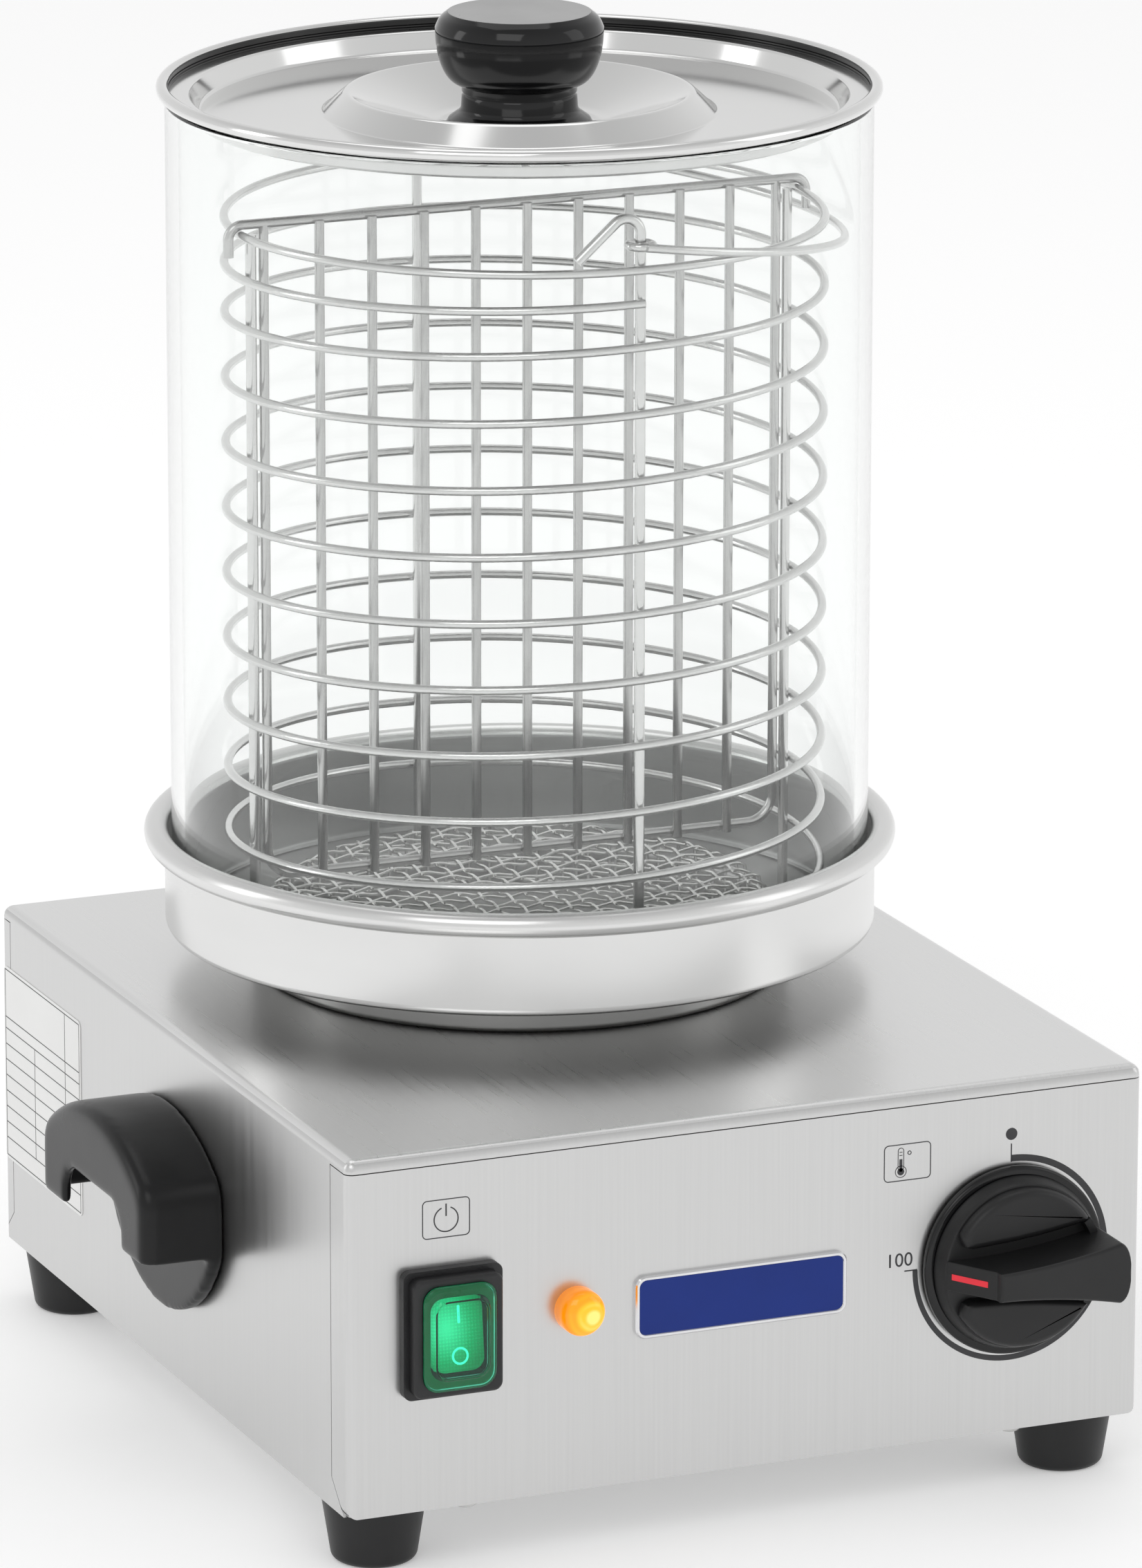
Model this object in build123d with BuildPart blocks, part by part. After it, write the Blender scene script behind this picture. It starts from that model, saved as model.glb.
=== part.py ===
from build123d import *
import os
from math import asin, atan2, cos, degrees, hypot, radians, sin, sqrt

# Hot dog steamer: a sheet-steel casing on four feet carries a heater plate. A water pan stands on the
# plate, a glass cylinder stands in the pan, and a wire basket with a hanging divider stands inside it
# under a recessed lid. Millimetres, +Z up, -Y to the front. The origin is on the bench, at the middle
# of the object's bounding box.

# ---- driving dimensions ------------------------------------------------------------------------

# Feet and casing
foot_height = 18.0
foot_top_radius = 14.5
foot_bottom_radius = 11.7
foot_rounding = 2.5
foot_inset_x = 14.8          # foot axis in from the casing's side
foot_inset_y = 18.4          # foot axis in from the casing's front and rear
casing_width = 238.0
casing_depth = 275.4
casing_height = 102.0
sheet = 1.0                  # casing sheet thickness
corner_bend = 2.5            # outside radius of the casing's upright corners
top_bend = 3.0               # outside radius of the bends round the casing's top
panel_corner = 3.0           # lower corners of the front panel
lip_height = 4.0             # top sheet folded down over the front and rear panels
front_return = 12.0          # front panel wrapped on to the sides
rear_return = 7.0            # rear panel wrapped on to the sides
return_notch = 9.0           # slanted cut at the foot of each return
seam_gap = 0.3               # open seam between panel and casing
flange_height = 12.0         # bottom plate's upturned edge
plate_clearance = 0.3        # bottom plate to casing walls
vent_length = 40.0
vent_width = 4.0
vent_pitch = 10.0
vent_count = 5

# Screws
screw_radius = 2.0
screw_head_radius = 3.6
screw_head_height = 2.2
screw_head_rounding = 1.76
screw_clearance = 0.2        # radial, shank in its hole
screw_grip = 6.0             # shank beyond the sheet that it holds
panel_screw_inset_x = 36.7   # dome screws under the front edge
panel_screw_inset_y = 6.0
foot_recess_radius = 6.0
foot_recess_depth = 9.0

# Glass cylinder, water pan and mesh disc, all on one upright axis
axis_setback = 27.2          # cylinder axis behind the casing's middle
glass_radius = 100.0
glass_wall = 3.8
glass_height = 240.3
glass_edge = 1.2             # polished rounding at both ends
pan_wall = 1.0
pan_base_wall = 2.0
pan_clearance = 1.0          # glass to pan wall, radial
pan_base_radius = 77.0
pan_base_depth = 12.0        # ledge underside above the pan's base
pan_depth = 27.4             # rim tube centre above the ledge's underside
pan_rim_tube = 3.5
mesh_radius = 73.0
mesh_thickness = 1.2
mesh_corner = 4.0
mesh_height = 20.0
mesh_pitch = 6.6
mesh_hole = 5.0
mesh_border = 5.0
mesh_slots = 60
mesh_slot_height = 12.0

# Lid and its knob
lid_wall = 0.9
lid_rim_tube = 1.8
lid_rim_radius = 102.4
lid_ledge_radius = 93.6      # top of the recess wall, inside the glass
lid_ledge_rise = 1.6         # ledge climbs outward to the rim
lid_floor_radius = 91.4
lid_recess_depth = 5.6
lid_cone_radius = 55.3
lid_crown_radius = 48.8
lid_crown_height = 6.0       # raised ring above the recess floor
lid_dish_radius = 23.5
lid_dish_depth = 9.0         # sunken middle below the raised ring
lid_bend = 1.6               # radius of the pressed bends
lid_knob_base_radius = 20.6
lid_knob_neck_radius = 16.3
lid_knob_flare = 5.0
lid_knob_neck = 6.0
lid_knob_radius = 23.7
lid_knob_bowl = 16.2
lid_knob_crown = 4.2
lid_knob_top_radius = 19.9
lid_knob_groove = 0.5
lid_knob_hollow = 0.3        # flare of the foot, as a share of its width at half height
lid_knob_fullness = 0.74     # bulge of the bowl, as a share of its width
lid_knob_belly = 0.45        # and the share of its height at which that is
lid_knob_edge = 0.8
lid_screw_length = 14.0

# Wire basket and divider
helix_wire = 2.5             # diameters
post_wire = 3.0
divider_wire = 2.8
helix_radius = 85.0
helix_pitch = 18.94
helix_turns = 9
helix_bearing = -90.0        # the helix begins and ends at the front post
helix_start = 14.5           # lowest wire above the pan's ledge
last_turn_pitch = 12.3
ring_gap = 9.35              # top ring above the end of the helix
basket_shift = 1.5           # basket stands this far off the glass axis
weld_gap = 0.05
hook_gap = 0.3               # divider rail above the ring that it hangs on
divider_half_width = 78.5
divider_bars = 11
divider_height = 189.4       # between the two rails
divider_corner = 8.0
bar_lead = 2.1               # bars welded on ahead of the rails
hook_reach = 88.5
hook_drop = 9.0
hook_bend = 4.0
bail_reach = 93.0            # folded carrying loop, out to the right of the basket
bail_half_width = 86.5
bail_height = 6.5            # its eyes above the top ring
bail_droop = 14.0
eye_radius = 3.3
retainer_width = 18.6        # bent-over tops of the front and rear posts, which hold the eyes
retainer_height = 19.8
retainer_drop = 3.2
retainer_bend = 4.5

# Front panel controls: distances in from the casing's side, and heights above the casing's bottom
switch_inset = 29.7
switch_height = 51.3
switch_flange = (29.0, 36.5)
switch_frame = (26.0, 33.5)
switch_opening = (17.0, 23.0)
switch_flange_depth = 3.0
switch_frame_depth = 7.5
switch_body = (22.0, 30.0)
switch_body_depth = 24.0
switch_corner = 2.5
switch_rounding = 1.0
switch_well = 1.5
boot_wall = 0.9
boot_size = (21.5, 30.0)
boot_height = 2.6
rocker_size = (15.0, 21.0)
rocker_face = 6.6            # rocker's face ahead of the panel
rocker_depth = 6.0
rocker_travel = 1.2          # one end of the face dips this far
rocker_pin = 1.0
rocker_pin_depth = 2.4       # pin axis ahead of the panel
pin_clearance = 0.05
lamp_inset = 67.2
lamp_height = 52.3
lamp_radius = 6.5
lamp_barrel_radius = 4.6
lamp_barrel_depth = 16.0
lamp_rim = 4.2
lamp_dome = 4.2
badge_offset = -3.0
badge_height = 50.3
badge_size = (63.4, 18.0)
badge_thickness = 1.6
badge_corner = 3.0
badge_edge = 0.6
knob_inset = 39.9
knob_height = 50.5
knob_gap = 0.8               # knob skirt off the panel
knob_skirt_radius = 27.2
knob_skirt_thickness = 2.4
knob_body_radius = 25.0
knob_face_radius = 23.2
knob_body_depth = 12.0
knob_reach = 25.0            # grip's face ahead of the panel
grip_tail = 14.4
grip_nose = 25.5
grip_tail_width = 8.2
grip_waist_width = 10.2
grip_nose_width = 17.4
grip_nose_start = 22.0
ramp_top = 22.0              # ramp down from the grip's tail, ahead of the panel
channel_width = 3.5          # groove on each side of the grip
channel_depth = 6.0
channel_border = 1.6
knob_rounding = 1.2
grip_rounding = 0.7
hub_clearance = 0.02
skirt_hole_radius = 9.0
pointer_size = (9.0, 1.4)
pointer_thickness = 0.5

# Carrying handles
handle_drop = 3.5            # handle's middle, towards the front of the casing's middle
handle_bottom = 47.0         # mouth of the grip above the casing's bottom
handle_width = 83.0
handle_side = 20.0
handle_crown = 34.5
handle_shoulder = 10.0
handle_reach = 24.5
handle_wall = 3.0
handle_back = 4.5
handle_lobe = 25.0
handle_edge = 4.0
handle_notch_width = 46.0
handle_notch_height = 12.8
handle_notch_corner = 9.0
handle_screw_spacing = 50.0
handle_screw_drop = 7.0

# Inside the casing
heater_radius = 68.0
heater_flange_radius = 75.0
heater_thickness = 6.0
heater_clearance = 0.5
element_radius = 46.0
element_tube = 4.0
element_leg_radius = 3.6
element_arc = 320.0
element_leg = 20.0
clamp_length = 112.0
clamp_width = 16.0
clamp_thickness = 2.5
stud_radius = 3.0
nut_width = 10.0
nut_height = 5.0
cutout_radius = 8.0
cutout_height = 6.0
cutout_offset = 26.0
thermostat_size = (38.0, 34.0)
thermostat_depth = 24.0
shaft_radius = 3.0
shaft_clearance = 0.05
shaft_reach = 10.0           # shaft's end ahead of the panel
shaft_depth = 12.0           # and behind it
bush_radius = 5.0
bush_reach = 2.6
thermostat_nut = 13.0
thermostat_nut_height = 2.2
bulb_radius = 3.0
bulb_length = 70.0
capillary_radius = 0.9
capillary_bend = 12.0
terminal_size = (46.0, 18.0)
terminal_height = 16.0
terminal_inset_x = 62.0
terminal_inset_y = 50.0
terminal_screw_radius = 2.2

# Rear panel and side label
gland_inset_x = 55.0
gland_height = 30.0
gland_reach = 25.0
gland_radius = 9.0
gland_hex = 22.0
gland_hex_height = 6.0
gland_cap_radius = 10.0
gland_bore = 4.0
gland_rounding = 2.5
gland_thread = 12.0
gland_hole_clearance = 0.3
louvre_size = (46.0, 3.0)
louvre_pitch = 9.0
louvre_count = 5
louvre_height = 64.0
label_size = (65.0, 59.0)
label_thickness = 0.2
label_inset = 1.8            # label's edge in from the casing's rear
label_bottom = 25.0
label_corner = 2.0

# ---- levels and positions that follow from them ------------------------------------------------

casing_y = (knob_reach - gland_reach) / 2
front_y = casing_y - casing_depth / 2
rear_y = casing_y + casing_depth / 2
side_x = casing_width / 2
axis_y = casing_y + axis_setback
casing_top = foot_height + casing_height
floor_top = foot_height + sheet
ledge_bottom = casing_top + pan_base_depth
ledge_top = ledge_bottom + pan_wall
pan_floor = casing_top + pan_base_wall
pan_inside = glass_radius + pan_clearance
pan_rim_level = ledge_bottom + pan_depth
glass_top = ledge_top + glass_height
helix_low = ledge_top + helix_start
helix_end = helix_low + helix_turns * helix_pitch + last_turn_pitch
ring_level = helix_end + ring_gap
post_radius = helix_radius - helix_wire / 2 - post_wire / 2 - weld_gap
rail_top = ring_level + helix_wire / 2 + divider_wire / 2 + hook_gap
rail_bottom = rail_top - divider_height
bail_level = ring_level + bail_height
switch_x = switch_inset - side_x
lamp_x = lamp_inset - side_x
knob_x = side_x - knob_inset
switch_z = foot_height + switch_height
lamp_z = foot_height + lamp_height
badge_z = foot_height + badge_height
knob_z = foot_height + knob_height
gland_x = gland_inset_x - side_x
gland_z = foot_height + gland_height
heater_bottom = casing_top - sheet - heater_thickness
lid_seat = glass_top

upright_axis = Axis((0, axis_y, 0), (0, 0, 1))
section_plane = Plane(origin=(0, axis_y, 0), x_dir=(1, 0, 0), z_dir=(0, -1, 0))
front_plane = Plane(origin=(0, front_y, 0), x_dir=(1, 0, 0), z_dir=(0, -1, 0))
rear_plane = Plane(origin=(0, rear_y, 0), x_dir=(-1, 0, 0), z_dir=(0, 1, 0))
left_plane = Plane(origin=(-side_x, casing_y, 0), x_dir=(0, -1, 0), z_dir=(-1, 0, 0))
basket_plane = Plane(origin=(basket_shift, axis_y, 0), x_dir=(1, 0, 0), z_dir=(0, -1, 0))


os.makedirs("parts", exist_ok=True)


def save(piece, name):
    """Label a finished piece and write it as one STEP file."""
    piece.label = name
    export_step(piece, f"parts/{name}.step")


def sheet_outline(path, wall):
    """Closed outline of a sheet that follows path, with its wall laid on the left of it."""
    offsets = []
    for i, (x, z) in enumerate(path):
        before = path[max(i - 1, 0)]
        after = path[min(i + 1, len(path) - 1)]
        turns = []
        for start, end in ((before, (x, z)), ((x, z), after)):
            length = hypot(end[0] - start[0], end[1] - start[1])
            if length > 0:
                turns.append(((start[1] - end[1]) / length, (end[0] - start[0]) / length))
        nx = sum(n[0] for n in turns) / len(turns)
        nz = sum(n[1] for n in turns) / len(turns)
        scale = wall / (nx * nx + nz * nz)
        offsets.append((x + nx * scale, z + nz * scale))
    return path + offsets[::-1]


def round_corners(radius, *points):
    """Fillet the current sketch's corners nearest to the given points."""
    for x, z in points:
        fillet(vertices().sort_by_distance(Vector(x, z, 0))[0], radius=radius)


def far_edges(part, plane):
    """Edges of a part that lie furthest out along a plane's normal."""
    return part.edges().group_by(Axis(plane.origin, plane.z_dir))[-1]


def dome_screw(plane, grip):
    """Dome-headed screw: the head stands on the plane and the shank runs back through it."""
    with BuildPart() as screw:
        with BuildSketch(plane):
            Circle(screw_head_radius)
        extrude(amount=screw_head_height)
        fillet(far_edges(screw, plane), radius=screw_head_rounding)
        with BuildSketch(plane):
            Circle(screw_radius)
        extrude(amount=-grip)
    return screw.part


# ---- casing ------------------------------------------------------------------------------------

def casing_block(inset):
    """Solid block of the casing's outline, drawn in by inset on every side but the bottom."""
    with BuildPart() as block:
        with BuildSketch(Plane.XY.offset(foot_height)):
            with Locations((0, casing_y)):
                RectangleRounded(casing_width - 2 * inset, casing_depth - 2 * inset, corner_bend - inset)
        extrude(amount=casing_height - inset)
        fillet(block.edges().group_by(Axis.Z)[-1], radius=top_bend - inset)
    return block.part


def return_zone(face_y, inward, depth, gap):
    """Block that holds a front or rear panel with its two returns, notched at their feet."""
    profile_plane = Plane(origin=(0, face_y, foot_height), x_dir=(0, inward, 0), z_dir=(inward, 0, 0))
    top = casing_height - lip_height + gap
    reach = depth + gap
    with BuildPart() as zone:
        with BuildSketch(profile_plane):
            with BuildLine():
                Polyline(
                    (-depth, -depth),
                    (reach - return_notch, -depth),
                    (reach - return_notch, 0),
                    (reach, return_notch),
                    (reach, top),
                    (-depth, top),
                    close=True,
                )
            make_face()
        extrude(amount=casing_width, both=True)
    return zone.part


outer_block = casing_block(0)
inner_block = casing_block(sheet)
foot_spots = [
    (sx * (side_x - foot_inset_x), casing_y + sy * (casing_depth / 2 - foot_inset_y))
    for sy in (-1, 1)
    for sx in (-1, 1)
]
panel_screw_spots = [
    (sx * (side_x - panel_screw_inset_x), front_y + panel_screw_inset_y) for sx in (-1, 1)
]
handle_z = foot_height + handle_bottom
handle_y = casing_y - handle_drop
handle_screw_z = handle_z - handle_screw_drop
handle_screw_spots = [handle_y + s * handle_screw_spacing / 2 for s in (-1, 1)]

with BuildPart() as body_shell:
    add(outer_block)
    add(inner_block, mode=Mode.SUBTRACT)
    add(return_zone(front_y, 1, front_return, seam_gap), mode=Mode.SUBTRACT)
    add(return_zone(rear_y, -1, rear_return, seam_gap), mode=Mode.SUBTRACT)
    with Locations((0, axis_y, casing_top)):
        Hole(radius=heater_radius + heater_clearance, depth=2 * sheet)
    for y in handle_screw_spots:
        with BuildSketch(Plane.YZ):
            with Locations((y, handle_screw_z)):
                Circle(screw_radius + screw_clearance)
        extrude(amount=casing_width, both=True, mode=Mode.SUBTRACT)
save(body_shell.part, "body_shell")

with BuildPart() as front_panel:
    add(outer_block)
    add(inner_block, mode=Mode.SUBTRACT)
    add(return_zone(front_y, 1, front_return, 0), mode=Mode.INTERSECT)
    with BuildSketch(front_plane):
        with Locations((0, foot_height + casing_height / 2)):
            RectangleRounded(casing_width, casing_height, panel_corner)
    extrude(amount=-2 * front_return, mode=Mode.INTERSECT)
    with BuildSketch(front_plane):
        with Locations((switch_x, switch_z)):
            Rectangle(switch_body[0] + 2 * seam_gap, switch_body[1] + 2 * seam_gap)
        with Locations((lamp_x, lamp_z)):
            Circle(lamp_barrel_radius + seam_gap)
        with Locations((knob_x, knob_z)):
            Circle(bush_radius + seam_gap)
    extrude(amount=-2 * sheet, mode=Mode.SUBTRACT)
save(front_panel.part, "front_panel")

with BuildPart() as rear_panel:
    add(outer_block)
    add(inner_block, mode=Mode.SUBTRACT)
    add(return_zone(rear_y, -1, rear_return, 0), mode=Mode.INTERSECT)
    with BuildSketch(rear_plane):
        with Locations((-gland_x, gland_z)):
            Circle(gland_radius + gland_hole_clearance)
        with Locations((gland_x, foot_height + louvre_height)):
            with GridLocations(0, louvre_pitch, 1, louvre_count):
                SlotOverall(louvre_size[0], louvre_size[1])
    extrude(amount=-2 * sheet, mode=Mode.SUBTRACT)
save(rear_panel.part, "rear_panel")

plate_width = casing_width - 2 * (sheet + plate_clearance)
plate_depth = casing_depth - 2 * (sheet + plate_clearance)
with BuildPart() as bottom_plate:
    with BuildSketch(Plane.XY.offset(foot_height)):
        with Locations((0, casing_y)):
            RectangleRounded(plate_width, plate_depth, corner_bend)
    extrude(amount=flange_height)
    with BuildSketch(Plane.XY.offset(floor_top)):
        with Locations((0, casing_y)):
            RectangleRounded(plate_width - 2 * sheet, plate_depth - 2 * sheet, corner_bend - sheet)
    extrude(amount=flange_height, mode=Mode.SUBTRACT)
    with BuildSketch(Plane.XY.offset(foot_height)):
        with Locations((0, axis_y)):
            with GridLocations(0, vent_pitch, 1, vent_count):
                SlotOverall(vent_length, vent_width)
        with Locations(*foot_spots, *panel_screw_spots):
            Circle(screw_radius + screw_clearance)
    extrude(amount=sheet, mode=Mode.SUBTRACT)
save(bottom_plate.part, "bottom_plate")

for number, (x, y) in enumerate(foot_spots, 1):
    with BuildPart() as foot:
        with BuildSketch(Plane(origin=(x, y, 0), x_dir=(1, 0, 0), z_dir=(0, -1, 0))):
            with BuildLine():
                Polyline(
                    (0, 0), (foot_bottom_radius, 0), (foot_top_radius, foot_height), (0, foot_height), close=True
                )
            make_face()
            round_corners(foot_rounding, (foot_bottom_radius, 0))
        revolve(axis=Axis((x, y, 0), (0, 0, 1)))
        with Locations(Plane(origin=(x, y, 0), z_dir=(0, 0, -1))):
            CounterBoreHole(
                radius=screw_radius + screw_clearance,
                counter_bore_radius=foot_recess_radius,
                counter_bore_depth=foot_recess_depth,
            )
    save(foot.part, f"foot_{number}")
    recess_roof = Plane(origin=(x, y, foot_recess_depth), z_dir=(0, 0, -1))
    foot_grip = foot_height - foot_recess_depth + screw_grip
    save(dome_screw(recess_roof, foot_grip), f"foot_screw_{number}")

for number, (x, y) in enumerate(panel_screw_spots, 1):
    underside = Plane(origin=(x, y, foot_height), z_dir=(0, 0, -1))
    save(dome_screw(underside, screw_grip), f"panel_screw_{number}")


# ---- pan, mesh disc and glass ------------------------------------------------------------------

pan_outside = pan_inside + pan_wall
pan_rim_centre = pan_inside + pan_rim_tube
with BuildPart() as water_pan:
    with BuildSketch(section_plane):
        with BuildLine():
            Polyline(
                (0, casing_top),
                (pan_base_radius, casing_top),
                (pan_base_radius, ledge_bottom),
                (pan_outside, ledge_bottom),
                (pan_outside, pan_rim_level),
                (pan_inside, pan_rim_level),
                (pan_inside, ledge_top),
                (pan_base_radius - pan_wall, ledge_top),
                (pan_base_radius - pan_wall, pan_floor),
                (0, pan_floor),
                close=True,
            )
        make_face()
        round_corners(pan_clearance + pan_wall, (pan_outside, ledge_bottom))
        round_corners(pan_clearance, (pan_inside, ledge_top))
        round_corners(pan_base_wall, (pan_base_radius, casing_top), (pan_base_radius, ledge_bottom))
        round_corners(
            pan_base_wall - pan_wall / 2,
            (pan_base_radius - pan_wall, pan_floor),
            (pan_base_radius - pan_wall, ledge_top),
        )
        with Locations((pan_rim_centre, pan_rim_level)):
            Circle(pan_rim_tube)
    revolve(axis=upright_axis)
save(water_pan.part, "water_pan")

mesh_top = pan_floor + mesh_height
with BuildPart() as mesh_disc:
    with BuildSketch(section_plane):
        with BuildLine():
            Polyline(
                (mesh_radius, pan_floor),
                (mesh_radius, mesh_top),
                (0, mesh_top),
                (0, mesh_top - mesh_thickness),
                (mesh_radius - mesh_thickness, mesh_top - mesh_thickness),
                (mesh_radius - mesh_thickness, pan_floor),
                close=True,
            )
        make_face()
        round_corners(mesh_corner, (mesh_radius, mesh_top))
        round_corners(mesh_corner - mesh_thickness, (mesh_radius - mesh_thickness, mesh_top - mesh_thickness))
    revolve(axis=upright_axis)
    mesh_count = int(2 * (mesh_radius - mesh_border) / mesh_pitch) // 2
    mesh_spots = [
        (i * mesh_pitch, axis_y + j * mesh_pitch)
        for i in range(-mesh_count, mesh_count + 1)
        for j in range(-mesh_count, mesh_count + 1)
        if hypot(i, j) * mesh_pitch + mesh_hole / sqrt(2) < mesh_radius - mesh_border
    ]
    with BuildSketch(Plane.XY.offset(mesh_top - 2 * mesh_thickness)):
        with Locations(*mesh_spots):
            Rectangle(mesh_hole, mesh_hole)
    extrude(amount=3 * mesh_thickness, mode=Mode.SUBTRACT)
    slot_level = pan_floor + (mesh_height - mesh_corner) / 2
    with Locations(Plane(origin=(0, axis_y, slot_level))):
        with PolarLocations(mesh_radius, mesh_slots):
            Box(4 * mesh_thickness, mesh_hole, mesh_slot_height, mode=Mode.SUBTRACT)
save(mesh_disc.part, "mesh_disc")

with BuildPart() as glass_cylinder:
    with BuildSketch(section_plane):
        with Locations((glass_radius - glass_wall / 2, ledge_top + glass_height / 2)):
            RectangleRounded(glass_wall, glass_height, glass_edge)
    revolve(axis=upright_axis)
save(glass_cylinder.part, "glass_cylinder")

# ---- lid and lid knob --------------------------------------------------------------------------

ledge_outer = lid_rim_radius - lid_rim_tube
lid_floor_level = lid_seat + lid_wall - lid_recess_depth
lid_dish_level = lid_floor_level + lid_crown_height - lid_dish_depth
lid_rim_level = lid_seat + lid_wall + lid_ledge_rise
lid_path = [
    (0, lid_dish_level - lid_wall),
    (lid_dish_radius, lid_dish_level - lid_wall),
    (lid_crown_radius, lid_floor_level + lid_crown_height - lid_wall),
    (lid_cone_radius, lid_floor_level - lid_wall),
    (lid_floor_radius, lid_floor_level - lid_wall),
    (lid_ledge_radius, lid_seat),
    (ledge_outer - lid_rim_tube, lid_seat),
    (ledge_outer, lid_rim_level),
]
with BuildPart() as lid:
    with BuildSketch(section_plane):
        with BuildLine():
            Polyline(*sheet_outline(lid_path, lid_wall), close=True)
        make_face()
        for x, z in lid_path[2:6]:
            round_corners(lid_bend, (x, z), (x, z + lid_wall))
        with Locations((ledge_outer, lid_rim_level)):
            Circle(lid_rim_tube)
    revolve(axis=upright_axis)
    with Locations((0, axis_y, lid_dish_level)):
        Hole(radius=screw_radius + screw_clearance, depth=2 * lid_wall)
save(lid.part, "lid")

knob_foot = lid_dish_level
neck_start = knob_foot + lid_knob_flare
neck_end = neck_start + lid_knob_neck
bowl_end = neck_end + lid_knob_bowl
lid_knob_height = bowl_end + lid_knob_crown
bowl_bulge = lid_knob_neck_radius + lid_knob_fullness * (lid_knob_radius - lid_knob_neck_radius)
foot_hollow = lid_knob_neck_radius + lid_knob_hollow * (lid_knob_base_radius - lid_knob_neck_radius)
with BuildPart() as lid_knob:
    with BuildSketch(section_plane):
        with BuildLine():
            Line((0, knob_foot), (lid_knob_base_radius, knob_foot))
            ThreePointArc(
                (lid_knob_base_radius, knob_foot),
                (foot_hollow, knob_foot + lid_knob_flare / 2),
                (lid_knob_neck_radius, neck_start),
            )
            Line((lid_knob_neck_radius, neck_start), (lid_knob_neck_radius, neck_end))
            ThreePointArc(
                (lid_knob_neck_radius, neck_end),
                (bowl_bulge, neck_end + lid_knob_bowl * lid_knob_belly),
                (lid_knob_radius, bowl_end),
            )
            Line((lid_knob_radius, bowl_end), (lid_knob_top_radius, lid_knob_height))
            Line((lid_knob_top_radius, lid_knob_height), (0, lid_knob_height))
            Line((0, lid_knob_height), (0, knob_foot))
        make_face()
        round_corners(lid_knob_edge, (lid_knob_radius, bowl_end), (lid_knob_top_radius, lid_knob_height))
        with Locations((lid_knob_neck_radius, neck_start + lid_knob_neck / 2)):
            Circle(lid_knob_groove, mode=Mode.SUBTRACT)
    revolve(axis=upright_axis)
    with Locations(Plane(origin=(0, axis_y, knob_foot), z_dir=(0, 0, -1))):
        Hole(radius=screw_radius + screw_clearance, depth=lid_screw_length)
save(lid_knob.part, "lid_knob")

lid_underside = Plane(origin=(0, axis_y, lid_dish_level - lid_wall), z_dir=(0, 0, -1))
save(dome_screw(lid_underside, lid_screw_length - screw_radius), "lid_screw")

# ---- wire basket -------------------------------------------------------------------------------

helix_plane = Plane(origin=(basket_shift, axis_y, helix_low))
helix_axis = Axis(helix_plane.origin, (0, 0, 1))
last_turn_plane = helix_plane.offset(helix_turns * helix_pitch)
with BuildPart() as basket_helix:
    for turn_plane, pitch, turns in (
        (helix_plane, helix_pitch, helix_turns),
        (last_turn_plane, last_turn_pitch, 1),
    ):
        with BuildLine(turn_plane):
            coil = Helix(pitch=pitch, height=pitch * turns, radius=helix_radius)
        with BuildSketch(Plane(origin=coil @ 0, z_dir=coil % 0)):
            Circle(helix_wire / 2)
        sweep(path=coil, is_frenet=True)
save(basket_helix.part.rotate(helix_axis, helix_bearing), "basket_helix")

with BuildPart() as basket_ring:
    with BuildSketch(basket_plane):
        with Locations((helix_radius, ring_level)):
            Circle(helix_wire / 2)
    revolve(axis=Axis(basket_plane.origin, (0, 0, 1)))
save(basket_ring.part, "basket_ring")

post_foot = ledge_top
for name, side in (("basket_post_left", -1), ("basket_post_right", 1)):
    with BuildPart() as side_post:
        with BuildSketch(Plane.XY.offset(post_foot)):
            with Locations((basket_shift + side * post_radius, axis_y)):
                Circle(post_wire / 2)
        extrude(amount=ring_level - post_foot)
    save(side_post.part, name)

for name, side in (("basket_post_front", -1), ("basket_post_rear", 1)):
    post_plane = Plane(
        origin=(basket_shift, axis_y + side * post_radius, 0), x_dir=(1, 0, 0), z_dir=(0, -1, 0)
    )
    with BuildPart() as end_post:
        with BuildLine(post_plane):
            post_line = FilletPolyline(
                (0, post_foot),
                (0, ring_level + retainer_height),
                (-retainer_width, ring_level + retainer_drop),
                radius=retainer_bend,
            )
        with BuildSketch(Plane(origin=post_line @ 0, z_dir=post_line % 0)):
            Circle(post_wire / 2)
        sweep(path=post_line)
    save(end_post.part, name)

# The folded loop lies in a plane that tips down to the right, through the two eyes
bail_tilt = degrees(asin(bail_droop / bail_reach))
bail_plane = Plane(origin=(basket_shift, axis_y, bail_level)).rotated((0, bail_tilt, 0))
with BuildPart() as basket_bail:
    with BuildLine(bail_plane):
        bail_line = EllipticalCenterArc((0, 0), bail_reach, bail_half_width, start_angle=-90, arc_size=180)
    with BuildSketch(Plane(origin=bail_line @ 0, z_dir=bail_line % 0)):
        Circle(helix_wire / 2)
    sweep(path=bail_line)
    for side in (-1, 1):
        eye_y = axis_y + side * post_radius
        with BuildSketch(Plane(origin=(basket_shift, eye_y, 0), x_dir=(1, 0, 0), z_dir=(0, -1, 0))):
            with Locations((eye_radius, bail_level)):
                Circle(helix_wire / 2)
        revolve(axis=Axis((basket_shift, eye_y, 0), (0, 0, 1)))
save(basket_bail.part, "basket_bail")

# ---- divider -----------------------------------------------------------------------------------

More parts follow.
